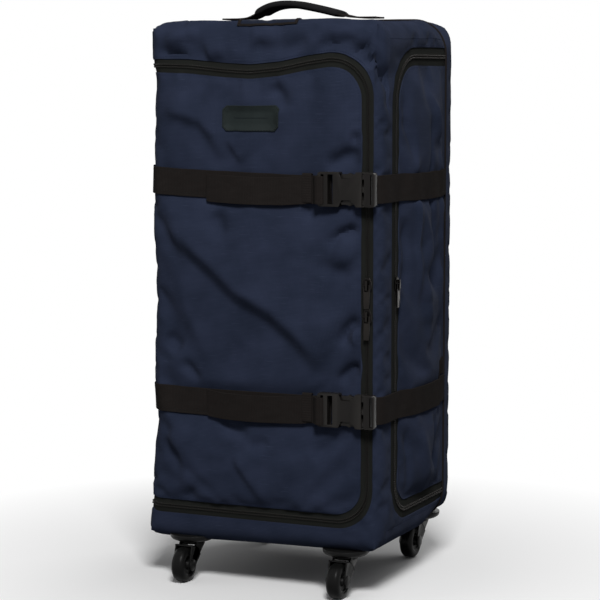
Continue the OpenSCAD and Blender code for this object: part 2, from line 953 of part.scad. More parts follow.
module housing_screws() {
    color(silver) place() for (c = CORNERS) screw_places(c) {
        translate([0, 0, base_z - screw_l + 1])
            cylinder(r = screw_r, h = floor_z - base_z + screw_l);
        translate([0, 0, floor_z]) cylinder(r = screw_head_r, h = screw_head_t);
    }
}

// Swivelling fork: stem and its head, crown disc and two arms down to the axle
module fork(c) {
    head_t = wall - 0.9;
    top = crown_z + crown_t;
    inner = wheel_w / 2 + arm_gap;
    outline = [
        [crown_r * 0.6, top], [-crown_r * 0.9, top], [-trail - boss_r, wheel_r],
        [-trail, wheel_r - boss_r], [-trail + boss_r, wheel_r], [crown_r * 0.6, crown_z - 2],
    ];
    color(black) place() translate(pivot(c)) {
        translate([0, 0, crown_z]) cylinder(r = crown_r, h = crown_t);
        translate([0, 0, top]) cylinder(r = stem_r, h = base_z - top + clear / 2);
        translate([0, 0, base_z + clear / 2]) cylinder(r = stem_head_r, h = head_t);
        for (side = [-1, 1]) difference() {
            translate([side < 0 ? -inner - arm_t : inner, 0, 0]) union() {
                along_x(0, arm_t) polygon(outline);
                translate([0, -trail, wheel_r]) rotate([0, 90, 0]) cylinder(r = boss_r, h = arm_t);
            }
            translate([-bag_w, -trail, wheel_r]) rotate([0, 90, 0])
                cylinder(r = axle_r + run, h = 2 * bag_w);
        }
    }
}

// Moves a piece that is round about X to the axle of a caster
module at_axle(c) {
    place() translate(pivot(c)) translate([0, -trail, wheel_r]) rotate([0, 90, 0]) children();
}

// Riveted axle with a head at each end
module axle(c) {
    half = wheel_w / 2 + arm_gap + arm_t;
    head = 1.2;
    color(silver) at_axle(c) {
        translate([0, 0, -half - head]) cylinder(r = axle_r, h = 2 * (half + head));
        for (z = [-half - head, half]) translate([0, 0, z]) cylinder(r = axle_r + 1.5, h = head);
    }
}

// Moulded hub with a thinner web between its boss and its rim
module hub(c) {
    half = wheel_w / 2 - 1;
    boss = wheel_w / 2 + arm_gap / 2;
    bore = axle_r + run;
    web = half - 3;
    color(black) at_axle(c) rotate_extrude() polygon([
        [bore, -boss], [bore + 3, -boss], [bore + 4, -web],
        [hub_r - 3, -web], [hub_r - 2, -half], [hub_r, -half],
        [hub_r, half], [hub_r - 2, half], [hub_r - 3, web],
        [bore + 4, web], [bore + 3, boss], [bore, boss],
    ]);
}

// Tyre with rounded shoulders
module tyre(c) {
    half = wheel_w / 2;
    shoulder = half * 0.7;
    low = hub_r + run;
    color(rubber) at_axle(c) rotate_extrude() polygon(concat(
        [[low, -half], [wheel_r - shoulder, -half]],
        arc([wheel_r - shoulder, shoulder - half], shoulder, 270, 360),
        arc([wheel_r - shoulder, half - shoulder], shoulder, 0, 90),
        [[low, half]]
    ));
}

front_border();
left_side_panel();
right_side_panel();
top_panel();
bottom_panel();
back_panel();
pocket_liner();
back_board();
bottom_board();
main_zip_border_tape();
pocket_zip_border_tape();
left_side_straps();
carry_handle_webbing();
carry_handle_grip();
id_window();
trolley_outer_tubes();
trolley_bezel();
caster_housings();
housing_screws();
flap_panel();
main_zip_flap_tape();
badge_patch();
upper_front_strap();
lower_front_strap();
strap_keepers();
upper_buckle_socket();
lower_buckle_socket();
pocket_panel();
pocket_zip_panel_tape();
upper_side_strap();
lower_side_strap();
upper_buckle_clip();
lower_buckle_clip();
buckle_prongs();
seam_label();
trolley_inner_tubes();
trolley_grip();
trolley_button();
upper_slider();
upper_pull();
lower_slider();
lower_pull();
pocket_slider();
pocket_pull();
for (c = CORNERS) {
    fork(c);
    axle(c);
    hub(c);
    tyre(c);
}
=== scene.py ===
# %% [markdown]
# # A rolling duffel bag
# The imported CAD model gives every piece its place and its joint. This lesson dresses it: the
# fabric is draped by a cloth simulation, the zips, stitches and piping are grown along their
# routes by Geometry Nodes, and the moulded pieces get rounded edges and their own finishes.

# %% Load the frame
import json
import math

import bmesh
import bpy
import numpy as np
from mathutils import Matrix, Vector


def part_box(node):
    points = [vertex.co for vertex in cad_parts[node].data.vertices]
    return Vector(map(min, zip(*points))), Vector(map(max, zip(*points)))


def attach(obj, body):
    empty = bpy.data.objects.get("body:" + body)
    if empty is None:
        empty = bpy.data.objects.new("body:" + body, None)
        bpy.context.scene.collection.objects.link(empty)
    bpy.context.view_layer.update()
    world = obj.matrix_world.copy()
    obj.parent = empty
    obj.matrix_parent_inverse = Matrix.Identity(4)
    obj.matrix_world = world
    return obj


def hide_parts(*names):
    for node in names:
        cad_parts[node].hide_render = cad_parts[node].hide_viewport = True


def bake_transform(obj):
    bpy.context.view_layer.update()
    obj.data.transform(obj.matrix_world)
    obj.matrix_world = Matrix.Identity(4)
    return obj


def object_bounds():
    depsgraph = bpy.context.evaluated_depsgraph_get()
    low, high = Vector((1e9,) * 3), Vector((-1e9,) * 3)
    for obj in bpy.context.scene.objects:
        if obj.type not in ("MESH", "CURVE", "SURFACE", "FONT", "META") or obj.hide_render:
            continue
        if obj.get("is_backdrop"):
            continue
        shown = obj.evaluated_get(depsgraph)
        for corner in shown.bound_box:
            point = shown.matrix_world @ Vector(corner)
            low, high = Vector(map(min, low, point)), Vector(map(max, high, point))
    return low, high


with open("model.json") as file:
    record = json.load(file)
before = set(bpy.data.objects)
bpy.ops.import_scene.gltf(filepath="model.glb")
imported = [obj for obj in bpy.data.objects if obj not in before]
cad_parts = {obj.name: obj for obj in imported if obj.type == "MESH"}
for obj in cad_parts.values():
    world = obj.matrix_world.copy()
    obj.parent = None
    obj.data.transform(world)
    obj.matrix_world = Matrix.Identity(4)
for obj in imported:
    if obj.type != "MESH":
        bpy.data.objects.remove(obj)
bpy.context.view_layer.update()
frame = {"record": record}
NODE_BODY = {
    node: body
    for body, nodes in frame["record"]["behaviour"]["bodies"].items()
    for node in nodes
}

# %% [markdown]
# ## Two frames
# The bag is easiest to describe from its own middle and in millimetres, as it was drawn. The
# shared frame is in metres, with its origin under the middle of the whole outline, so every
# point passes through one small function on its way into a mesh.

# %% From the bag's millimetres to the shared frame
MM = 0.001
SHIFT = np.array([-5.25, 11.5, 0.0])


def to_frame(points):
    """Points measured from the middle of the bag, in mm, as metres in the shared frame."""
    return (np.asarray(points, float) + SHIFT) * MM


def smoothstep(x):
    """0 below 0, 1 above 1, and a smooth ramp in between."""
    t = np.clip(x, 0.0, 1.0)
    return t * t * (3.0 - 2.0 * t)


def fade(value, first, last):
    """0 up to the first value, 1 from the last one on, and a smooth ramp in between."""
    return smoothstep((value - first) / (last - first))


def unit(vectors):
    """Vectors made one long."""
    return vectors / np.linalg.norm(vectors, axis=-1, keepdims=True)


def run_of(points):
    """Distance along a line of points, from 0 at its start."""
    return np.concatenate([[0], np.cumsum(np.linalg.norm(np.diff(points, axis=0), axis=1))])


def crossed(first, second):
    """Two lists of places as the two coordinates of a grid."""
    return np.meshgrid(first, second, indexing="ij")


print("one unit here is", MM, "m, and the bag's middle lies at", (SHIFT * MM).tolist())

# %% [markdown]
# ## Camera
# The photograph was taken with a long lens from the right of the front, a little above the
# middle. A long lens flattens perspective, so the camera stands about three metres away.

# %% Camera at the photograph's angle
CAMERA_AZIMUTH = math.radians(24.39)
CAMERA_PITCH = math.radians(6.08)
CAMERA_DISTANCE = 2.986
CAMERA_LENS = 122.5
AIM_RIGHT = -12.6
AIM_UP = 394.2

toward_camera = Vector((
    math.sin(CAMERA_AZIMUTH) * math.cos(CAMERA_PITCH),
    -math.cos(CAMERA_AZIMUTH) * math.cos(CAMERA_PITCH),
    math.sin(CAMERA_PITCH),
))
aim = Vector(to_frame([
    AIM_RIGHT * math.cos(CAMERA_AZIMUTH),
    AIM_RIGHT * math.sin(CAMERA_AZIMUTH),
    AIM_UP,
]))
camera = bpy.data.objects.new("camera", bpy.data.cameras.new("camera"))
camera.data.lens = CAMERA_LENS
camera.data.sensor_width = 36
camera.location = aim + toward_camera * CAMERA_DISTANCE
camera.rotation_mode = "QUATERNION"
camera.rotation_quaternion = (-toward_camera).to_track_quat("-Z", "Y")
bpy.context.scene.collection.objects.link(camera)
bpy.context.scene.camera = camera
print("camera at", [round(c, 3) for c in camera.location])

# %% [markdown]
# ## Node helpers
# Colours are written as the hex values that one reads off a picture. Shaders work with linear
# light, so one function converts them. A second one adds a node, sets it up and wires it, which
# keeps each material below as short as its description.

# %% Colours and nodes


def colour(code):
    """An sRGB hex value as linear RGBA."""
    parts = [int(code[i:i + 2], 16) / 255 for i in (1, 3, 5)]
    linear = [c / 12.92 if c <= 0.04045 else ((c + 0.055) / 1.055) ** 2.4 for c in parts]
    return (*linear, 1.0)


def add(tree, kind, inputs=None, **settings):
    """Adds a node, with its settings, and its inputs as values or as sockets to link."""
    made = tree.nodes.new(kind)
    for name, value in settings.items():
        setattr(made, name, value)
    for key, value in (inputs or {}).items():
        if isinstance(value, bpy.types.NodeSocket):
            tree.links.new(value, made.inputs[key])
        else:
            made.inputs[key].default_value = value
    return made


def maths(tree, operation, first, second=0.0):
    """The socket of one calculation on values or sockets."""
    return add(tree, "ShaderNodeMath", {0: first, 1: second}, operation=operation).outputs[0]


def ramp(tree, value, first=0.0, last=1.0, low=0.0, high=1.0):
    """The socket of a value that goes from low to high while another goes from first to last."""
    return add(tree, "ShaderNodeMapRange", {
        "Value": value, "From Min": first, "From Max": last, "To Min": low, "To Max": high,
    }).outputs[0]


def mix_colour(tree, factor, first, second):
    """The socket of a colour between two."""
    return add(tree, "ShaderNodeMix", {"Factor": factor, 6: first, 7: second}, data_type="RGBA").outputs[2]


def seen_rays(tree, *kinds):
    """The socket that is 1 for rays of these kinds, and 0 for the rest."""
    rays = add(tree, "ShaderNodeLightPath").outputs
    seen = rays[kinds[0]]
    for kind in kinds[1:]:
        seen = maths(tree, "MAXIMUM", seen, rays[kind])
    return seen


print("navy as the shader gets it:", [round(c, 3) for c in colour("#2b3143")])

# %% [markdown]
# ## Light, floor and background
# Plain studio light: a key from high over the front, a weak fill from the left, and a pale
# world. The floor is a real pale surface that keeps the shadow, and it fades to white away from
# the bag, so that it meets the white background without a line.

# %% Light, floor and background
scene = bpy.context.scene
scene.view_settings.view_transform = "Standard"


def area_light(name, place, target, size, watts):
    """A square soft light at a place, turned to a target."""
    lamp = bpy.data.lights.new(name, "AREA")
    lamp.size = size
    lamp.energy = watts
    holder = bpy.data.objects.new(name, lamp)
    holder.location = place
    holder.rotation_mode = "QUATERNION"
    holder.rotation_quaternion = (Vector(target) - Vector(place)).to_track_quat("-Z", "Y")
    scene.collection.objects.link(holder)


area_light("key", (1.2, -2.35, 2.9), (0, 0, 0.45), 0.9, 112)
area_light("fill", (-2.6, -1.6, 1.2), (0, 0, 0.4), 1.6, 6)
area_light("back", (0.8, 2.4, 2.2), (0, 0, 0.5), 1.4, 24)

world = bpy.data.worlds.new("studio")
scene.world = world
world.use_nodes = True
sky = world.node_tree
sky.nodes.clear()
seen = seen_rays(sky, "Is Camera Ray", "Is Glossy Ray", "Is Transmission Ray")
ambient = add(sky, "ShaderNodeBackground", {"Color": (1, 1, 1, 1), "Strength": 0.2})
white = add(sky, "ShaderNodeBackground", {"Color": (1, 1, 1, 1), "Strength": 1.0})
mixed = add(sky, "ShaderNodeMixShader", {0: seen, 1: ambient.outputs[0], 2: white.outputs[0]})
add(sky, "ShaderNodeOutputWorld", {"Surface": mixed.outputs[0]})

FLOOR_SIZE = 30.0
# The floor turns white between these distances from the bag, in metres
FLOOR_FADE = (0.25, 0.75)
floor_mesh = bpy.data.meshes.new("floor")
half_floor = FLOOR_SIZE / 2
floor_mesh.from_pydata(
    [(-half_floor, -half_floor, 0), (half_floor, -half_floor, 0),
     (half_floor, half_floor, 0), (-half_floor, half_floor, 0)],
    [], [(0, 1, 2, 3)],
)
floor = bpy.data.objects.new("floor", floor_mesh)
scene.collection.objects.link(floor)
floor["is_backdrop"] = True

floor_paint = bpy.data.materials.new("pale_floor")
floor_paint.use_nodes = True
tree = floor_paint.node_tree
tree.nodes.clear()
seen = seen_rays(tree, "Is Camera Ray", "Is Glossy Ray")
place = add(tree, "ShaderNodeTexCoord")
away = add(tree, "ShaderNodeVectorMath", {0: place.outputs["Object"]}, operation="LENGTH")
glow = maths(tree, "MULTIPLY", ramp(tree, away.outputs["Value"], *FLOOR_FADE), seen)
# The camera sees a pale floor, while less light bounces from it up to the bag
pale = mix_colour(tree, seen, colour("#8c8c8c"), colour("#f4f4f4"))
matte = add(tree, "ShaderNodeBsdfDiffuse", {"Color": pale})
white = add(tree, "ShaderNodeEmission", {"Color": (1, 1, 1, 1), "Strength": 1.0})
mixed = add(tree, "ShaderNodeMixShader", {0: glow, 1: matte.outputs[0], 2: white.outputs[0]})
add(tree, "ShaderNodeOutputMaterial", {"Surface": mixed.outputs[0]})
floor_mesh.materials.append(floor_paint)
print("lights and floor are in place")

# %% [markdown]
# ## Finishes
# Each finish starts from what the real material is. Cloth pieces carry a UV map in metres that
# follows the threads, so a weave can be drawn to a real size and stays with the cloth when it
# folds. Moulded and metal pieces read their own Object coordinates.

# %% Cloth finishes
UV_NAME = "threads"
# What is uneven in the cloth, across and along the threads in mm: dye, thick threads and wear
BLOT_MM = (60, 45)
SLUB_MM = (26, 1.6)
WORN_MM = (30, 9)
# Which part of the noise shows as blots, and which as slubs
BLOT_RANGE = (0.3, 0.7)
SLUB_RANGE = (0.62, 0.78)
# How far the raised threads are painted lighter, as a painted highlight on their tops
WEAVE_HIGHLIGHT = 0.35
RIB_HIGHLIGHT = 0.4


def start_material(name):
    """A new material with one Principled shader, its tree and the shader."""
    made = bpy.data.materials.new(name)
    made.use_nodes = True
    made.node_tree.nodes.clear()
    shader = add(made.node_tree, "ShaderNodeBsdfPrincipled")
    add(made.node_tree, "ShaderNodeOutputMaterial", {"Surface": shader.outputs[0]})
    return made, made.node_tree, shader


def wire(tree, shader, base, bump, rough, specular):
    """Wires the colour, the bump and the roughness of a finish into its shader."""
    tree.links.new(base, shader.inputs["Base Color"])
    tree.links.new(bump.outputs[0], shader.inputs["Normal"])
    tree.links.new(rough, shader.inputs["Roughness"])
    shader.inputs["Specular IOR Level"].default_value = specular


def thread_waves(tree, along_mm, across_mm):
    """Two waves from 0 to 1 that follow the threads of the UV map, one each way."""
    uv = add(tree, "ShaderNodeUVMap", uv_map=UV_NAME)
    parts = add(tree, "ShaderNodeSeparateXYZ", {0: uv.outputs[0]})
    waves = []
    for axis, pitch in (("X", along_mm), ("Y", across_mm)):
        turns = maths(tree, "MULTIPLY", parts.outputs[axis], 2 * math.pi / (pitch * MM))
        waves.append(ramp(tree, maths(tree, "SINE", turns), -1.0, 1.0))
    return uv.outputs[0], waves


def stretched_noise(tree, vector, across_mm, up_mm, detail=2.0):
    """Noise whose blots are so wide and so high on the UV map."""
    scaled = add(tree, "ShaderNodeVectorMath",
                 {0: vector, 1: (1 / (across_mm * MM), 1 / (up_mm * MM), 1.0)}, operation="MULTIPLY")
    noise = add(tree, "ShaderNodeTexNoise",
                {"Vector": scaled.outputs[0], "Scale": 1.0, "Detail": detail, "Roughness": 0.55})
    return noise.outputs["Fac"]


def woven(name, tones, pitch_mm, sheen, slubs):
    """Plain-weave polyester: threads that cross, thicker slubs along the weft, a soft sheen."""
    made, tree, shader = start_material(name)
    uv, (warp, weft) = thread_waves(tree, pitch_mm, pitch_mm)
    crossing = maths(tree, "MULTIPLY", warp, weft)
    blots = stretched_noise(tree, uv, *BLOT_MM)
    base = mix_colour(tree, ramp(tree, blots, *BLOT_RANGE), colour(tones[0]), colour(tones[1]))
    lines = stretched_noise(tree, uv, *SLUB_MM)
    slub = maths(tree, "MULTIPLY", ramp(tree, lines, *SLUB_RANGE), slubs)
    # Slubs are lighter threads, and the raised crossings get a painted highlight
    for part in (slub, maths(tree, "MULTIPLY", crossing, WEAVE_HIGHLIGHT)):
        base = mix_colour(tree, part, base, colour(tones[2]))
    height = maths(tree, "ADD", crossing, slub)
    bump = add(tree, "ShaderNodeBump", {"Height": height, "Strength": 0.35, "Distance": 0.0004})
    wire(tree, shader, base, bump, ramp(tree, blots, low=0.62, high=0.78), 0.0)
    shader.inputs["Sheen Weight"].default_value = sheen
    shader.inputs["Sheen Roughness"].default_value = 0.45
    return made


def ribbed(name, tones, rib_mm, cord_mm, depth):
    """Woven tape or webbing: ribs across it and fine cords along it."""
    made, tree, shader = start_material(name)
    uv, (along, across) = thread_waves(tree, rib_mm, cord_mm)
    height = maths(tree, "MULTIPLY", along, across)
    worn = stretched_noise(tree, uv, *WORN_MM)
    base = mix_colour(tree, worn, colour(tones[0]), colour(tones[1]))
    # The raised ribs get a painted highlight on their tops
    base = mix_colour(tree, maths(tree, "MULTIPLY", height, RIB_HIGHLIGHT), base, colour(tones[2]))
    bump = add(tree, "ShaderNodeBump", {"Height": height, "Strength": 0.5, "Distance": depth * MM})
    wire(tree, shader, base, bump, ramp(tree, worn, low=0.5, high=0.7), 0.0)
    shader.inputs["Sheen Weight"].default_value = 0.01
    return made


# Threads of such cloth lie about 0.5 mm apart, too fine for the picture, so they are drawn wider
# The shell: matt navy, a little patchy, with short lighter lines where a thread is thicker
navy_polyester = woven("navy_polyester", ("#212736", "#2b3143", "#3b4256"), 1.7, 0.02, 0.5)
# The lining: the same weave, thinner and nearly black
black_lining = woven("black_lining", ("#1d1e22", "#26272c", "#33343a"), 1.7, 0.02, 0.2)
# Webbing: a warm black with ribs across it, whose raised tops get a painted highlight one by one
nylon_webbing = ribbed("nylon_webbing", ("#1c1918", "#252221", "#332f2d"), 2.4, 1.6, 0.5)
# The sleeve of the handle: a dull, even black that looks soft
neoprene = woven("ribbed_neoprene", ("#19191a", "#212122", "#2c2c2d"), 2.2, 0.02, 0.1)
# Zip tape: flat and dull beside the shinier teeth
zip_tape = ribbed("woven_zip_tape", ("#1a1b1a", "#232422", "#2f302d"), 1.5, 1.5, 0.25)
print("cloth finishes:", navy_polyester.name, nylon_webbing.name, zip_tape.name)

# %% [markdown]
# Moulded plastic is not smooth: its mould is spark-eroded, which leaves a fine grain that breaks up the
# highlight. Metal and rubber get a slower waviness. Sharp edges may be painted lighter: worn edges on the
# plastics, painted glints on the zip sliders. All read Object coordinates in metres, so the grain size is a
# division away from millimetres.

# %% Moulded, metal and rubber finishes
TONE_MM = 18.0
# Pointiness of the edges that are painted lighter, worn edges on the plastics and painted glints on the zip
# sliders, and how far the roughness changes with the tone
WORN_AND_GLINT_EDGE = (0.52, 0.6)
ROUGH_CHANGE = 0.06


def moulded(name, tones, roughness, grain_mm, bump_strength, gloss=0.1, metallic=0.0, wear_and_glint=0.0):
    """A solid finish with a fine grain and slow changes of tone."""
    made, tree, shader = start_material(name)
    spot = add(tree, "ShaderNodeTexCoord").outputs["Object"]
    noises = []
    for size, detail in ((grain_mm, 3.0), (TONE_MM, 2.0)):
        noise = add(tree, "ShaderNodeTexNoise", {"Vector": spot, "Scale": 1 / (size * MM), "Detail": detail})
        noises.append(noise.outputs["Fac"])
    grain, slow = noises
    base = mix_colour(tree, slow, colour(tones[0]), colour(tones[1]))
    # Lighter sharp edges: worn edges on the plastics, painted glints on the zip sliders
    if wear_and_glint:
        edge = add(tree, "ShaderNodeNewGeometry").outputs["Pointiness"]
        base = mix_colour(tree, ramp(tree, edge, *WORN_AND_GLINT_EDGE, high=wear_and_glint), base, colour(tones[2]))
    bump = add(tree, "ShaderNodeBump", {"Height": grain, "Strength": bump_strength, "Distance": 0.0002})
    rough = ramp(tree, slow, low=roughness - ROUGH_CHANGE, high=roughness + ROUGH_CHANGE)
    wire(tree, shader, base, bump, rough, 0.5 if metallic else gloss)
    shader.inputs["Metallic"].default_value = metallic
    return made


# Buckles: smooth black acetal, whose worn edges are a little lighter
black_acetal = moulded("black_acetal", ("#151312", "#1c1a19", "#3a3836"), 0.24, 0.9, 0.1, gloss=0.1, wear_and_glint=0.3)
# Casters and trolley handle: deep black ABS with a visible grain
black_abs = moulded("black_abs", ("#0d0d0d", "#141414", "#2c2c2c"), 0.34, 1.2, 0.2, gloss=0.09, wear_and_glint=0.25)
# Zip sliders: dark plated metal that mirrors the room dimly, with painted glints on its sharp edges
gunmetal = moulded("gunmetal_zinc", ("#121111", "#1b1a19", "#4d4946"), 0.22, 2.5, 0.08,
                   metallic=1.0, wear_and_glint=0.2)
# Screws and axles: bright plated steel
steel = moulded("zinc_plated_steel", ("#8a8b8c", "#a3a4a5", "#c4c5c6"), 0.35, 3.0, 0.06, metallic=1.0)
# Trolley tubes: grey satin metal with a wide, soft highlight
aluminium = moulded("anodised_aluminium", ("#4a4c4f", "#5c5e62", "#85878a"), 0.38, 1.5, 0.06, metallic=1.0)
# Tyres: black and slightly waxy
urethane = moulded("urethane_tyre", ("#0a0a0a", "#111111", "#2c2c2c"), 0.36, 1.6, 0.15, gloss=0.08)
# Badge: greenish black rubber, matt and pebbled
dotted_rubber = moulded("dotted_rubber", ("#1f2424", "#272d2d", "#2c2e2e"), 0.6, 1.4, 0.8, gloss=0.03)
# Stiffening boards: dull grey sheet
board_plastic = moulded("grey_board", ("#26272a", "#303135", "#3a3b3f"), 0.7, 2.0, 0.4)
# Name-card window: a soft film that looks dark, because the cloth behind it is
clear_pvc = moulded("clear_vinyl", ("#1a1e28", "#232836", "#3c3d38"), 0.35, 8.0, 0.2, gloss=0.01)
# Threads: dull, and close in colour to the cloth that they hold
thread_black = moulded("black_thread", ("#1a1a1a", "#222222", "#2a2a2a"), 0.7, 0.6, 0.3, gloss=0.02)
thread_navy = moulded("navy_thread", ("#1d2438", "#283048", "#323b55"), 0.7, 0.6, 0.3, gloss=0.02)
print("solid finishes made")

# %% [markdown]
# ## The form under the cloth
# A bag is a lofted shell, so all its cloth is cut from one skin. The skin starts as a box whose
# points are drawn in to a rounded form. The box is useful for its own sake too: a seam or a zip
# is easy to place on a flat side of it, and the skin then says where that point really lies.

# %% Sizes of the bag, in mm from the middle of its plan
HALF_W = 177.5
HALF_D = 165.0
BASE_Z = 66.0
TOP_Z = 800.0
LOW = np.array([-HALF_W, -HALF_D, BASE_Z])
HIGH = np.array([HALF_W, HALF_D, TOP_Z])
RIM_R = 22.0
BACK_RIM_R = 52.0
BACK_R = 70.0
HEEL_R = 45.0
FOLD_Y = -133.0
# The fold lies round the left edge: this is its place on the front, laid out flat
FOLD_X = -HALF_W - (HALF_D + FOLD_Y)
SEAM_Y = 88.0
TOP_SEAM = 773.0
LOW_SEAM = 93.0
ZIP_X = 162.0
ZIP_Z0 = 108.0
ZIP_Z1 = 735.0
ZIP_R = 48.0
POCKET_Y = -104.0
POCKET_Z0 = 112.0
POCKET_Z1 = 747.0
POCKET_LOW_R = 45.0
POCKET_TOP_R = 70.0
POCKET_BULGE = 9.0
TAPE_W = 10.0
POCKET_TAPE_W = 13.0
UPPER_Z = 567.0
LOWER_Z = 265.0
STRAPS = {"upper": UPPER_Z, "lower": LOWER_Z}
STRAP_W = 38.0


def rounded_distance(a, b, low, high, radii):
    """Distance outside a rectangle with a radius at each corner, negative inside."""
    low = np.asarray(low, float)
    high = np.asarray(high, float)
    middle = (low + high) / 2
    half = (high - low) / 2
    right = a > middle[0]
    lower = np.where(right, radii[1], radii[0])
    upper = np.where(right, radii[2], radii[3])
    r = np.where(b > middle[1], upper, lower)
    da = np.abs(a - middle[0]) - half[0] + r
    db = np.abs(b - middle[1]) - half[1] + r
    outside = np.hypot(np.maximum(da, 0), np.maximum(db, 0))
    return np.minimum(np.maximum(da, db), 0) + outside - r


def form_distance(p):
    """How far points lie outside the rounded form: its plan, side and front outlines combined."""
    x, y, z = p[..., 0], p[..., 1], p[..., 2]
    plan = rounded_distance(x, y, LOW[:2], HIGH[:2], (RIM_R, RIM_R, BACK_R, BACK_R))
    side = rounded_distance(y, z, LOW[1:], HIGH[1:], (RIM_R, RIM_R, HEEL_R, RIM_R))
    rim = RIM_R + (BACK_RIM_R - RIM_R) * fade(y, 10, 110)
    front = rounded_distance(x, z, LOW[::2], HIGH[::2], (rim, rim, rim, rim))
    return np.maximum(np.maximum(plan, side), front)


CORE_DEPTH = 75.0


def on_form(p):
    """Box points drawn in to the form, along lines to a smaller box inside."""
    core = np.clip(p, LOW + CORE_DEPTH, HIGH - CORE_DEPTH)
    inner = np.zeros(p.shape[:-1])
    outer = np.ones(p.shape[:-1])
    for _ in range(30):
        middle = (inner + outer) / 2
        inside = form_distance(core + (p - core) * middle[..., None]) < 0
        inner = np.where(inside, middle, inner)
        outer = np.where(inside, outer, middle)
    return core + (p - core) * outer[..., None]


print("bag form:", (HIGH - LOW).tolist(), "mm")

# %% [markdown]
# The skin's grid has a point about every 8 mm on each side of the box. Points that two sides
# share are merged, so that the simulation sees one closed bag.

# %% Grid of the skin
GRID = 8.0
# Each side of the box: the axis that it faces along, its place on it, and its own two axes
SIDES = {
    "front": (1, -HALF_D, 0, 2),
    "back": (1, HALF_D, 0, 2),
    "left": (0, -HALF_W, 1, 2),
    "right": (0, HALF_W, 1, 2),
    "top": (2, TOP_Z, 0, 1),
    "bottom": (2, BASE_Z, 0, 1),
}
# Whether the two axes of a side, in that order, turn outwards
OUTWARD = {"front": 1, "back": -1, "left": -1, "right": 1, "top": 1, "bottom": -1}


def quads_of(index, flip):
    """Four-sided faces over a grid of vertex numbers."""
    corners = [index[:-1, :-1], index[1:, :-1], index[1:, 1:], index[:-1, 1:]]
    faces = np.stack(corners, -1).reshape(-1, 4)
    return faces[:, ::-1] if flip else faces


def side_grid(side):
    """Box points of one side as a grid."""
    _, value, first, second = SIDES[side]
    counts = [int(round((HIGH[a] - LOW[a]) / GRID)) + 1 for a in (first, second)]
    grid = np.full((*counts, 3), value)
    grid[..., first] = np.linspace(LOW[first], HIGH[first], counts[0])[:, None]
    grid[..., second] = np.linspace(LOW[second], HIGH[second], counts[1])[None, :]
    return grid


grids = {side: side_grid(side) for side in SIDES}
stacked = np.concatenate([grids[side].reshape(-1, 3) for side in SIDES])
box, merged = np.unique(np.round(stacked, 3), axis=0, return_inverse=True)
merged = merged.reshape(-1)
numbers = {}
skin_quads = []
used = 0
for side in SIDES:
    count = grids[side].shape[0] * grids[side].shape[1]
    numbers[side] = merged[used:used + count].reshape(grids[side].shape[:2])
    used += count
    skin_quads.append(quads_of(numbers[side], OUTWARD[side] < 0))
skin_quads = np.concatenate(skin_quads)
print("skin grid:", len(box), "points,", len(skin_quads), "faces")

# %% [markdown]
# ## Letting the cloth settle
# Real fabric hangs between its zips, seams and boards. Those lines hold the skin here, and the
# rest is simulated as cloth with a little more fabric than the form needs, a little air inside
# for the padding, and a share of gravity. The pocket starts as a shallow dome, and the zip over
# the top of the flap dips in the middle, as a full bag pulls it.

# %% Held lines and the starting shape
# How firmly the cloth is held, from 0 to 1
HOLD_TOP = 0.15
HOLD_BACK = 0.6
HOLD_EDGE = 0.35
HOLD_STRAP = 0.25
# Widths of the held bands
BACK_BAND = 15.0
EDGE_BAND = 12.0
SEAM_BAND = 5.0
FOLD_BAND = 6.0
TAPE_CLEAR = 2.0
FOOT_CLEAR = 3.0


def zip_distance(x, z):
    """Distance from the main zip's line in the front view, negative on the flap."""
    return rounded_distance(x, z, (-3 * HALF_W, ZIP_Z0), (ZIP_X, ZIP_Z1), (1, ZIP_R, ZIP_R, 1))


def pocket_distance(y, z):
    """Distance from the pocket zip's line in the side view, negative on the pocket."""
    return rounded_distance(y, z, (POCKET_Y, POCKET_Z0), (SEAM_Y, POCKET_Z1),
                            (POCKET_LOW_R, 1, 1, POCKET_TOP_R))


x, y, z = box.T
on_front = y <= FOLD_Y
on_right = x >= HALF_W
hold = np.zeros(len(box))
hold[z >= TOP_Z] = HOLD_TOP
hold[y > HALF_D - BACK_BAND] = HOLD_BACK
edge_gap = np.minimum.reduce([
    np.maximum(HALF_W - np.abs(x), TOP_Z - z),
    np.maximum(y + HALF_D, TOP_Z - z),
    np.maximum(HALF_W - np.abs(x), y + HALF_D),
])
near_edge = edge_gap < EDGE_BAND
hold[near_edge] = np.maximum(hold[near_edge], HOLD_EDGE)
for height in STRAPS.values():
    under_strap = (on_front | on_right) & (np.abs(z - height) < STRAP_W / 2)
    hold[under_strap] = np.maximum(hold[under_strap], HOLD_STRAP)
# The zips, the back seam, the fold, the top behind the seam and the bottom don't move at all
hold[on_front & (np.abs(zip_distance(x, z)) < TAPE_W + TAPE_CLEAR)] = 1
hold[on_right & (np.abs(pocket_distance(y, z)) < POCKET_TAPE_W + TAPE_CLEAR)] = 1
hold[np.abs(y - SEAM_Y) < SEAM_BAND] = 1
hold[(np.abs(y - FOLD_Y) < FOLD_BAND) & (x <= -HALF_W)] = 1
hold[(y > SEAM_Y) & (z >= TOP_Z)] = 1
hold[z < LOW_SEAM - FOOT_CLEAR] = 1

start = on_form(box)
# Dip of the zip over the top of the flap: place across the front, and height
DIP_X = (-180, -110, -50, -14, 30, 70, 106, 140, 180)
DIP_Z = (0, -2, -8, -10, -6, 2, 7, 4, 0)
# The left edge draws in between the bottom and the zip: height, and distance
WAIST_Z = (66, 85, 110, 160, 200, 224, 265, 290, 340, 400, 450, 500, 540, 600, 680, 714, 745, 800)
WAIST_IN = (-7, -6, -2, 0, 4, 8, 7, 3, 4, 7, 6, 2, 4, 5, 7, 9, 3, 3)
# The front of the bottom hangs between the casters: place across the front, and drop
SAG_X = (-178, -120, 0, 100, 178)
SAG_Z = (5.0, 7.0, 3.5, 2.0, 0.0)
# The front corners of the top droop, the left one more
CORNER_DROOP = 5.0
LEFT_DROOP = 3.0
DIP_REACH = 45.0

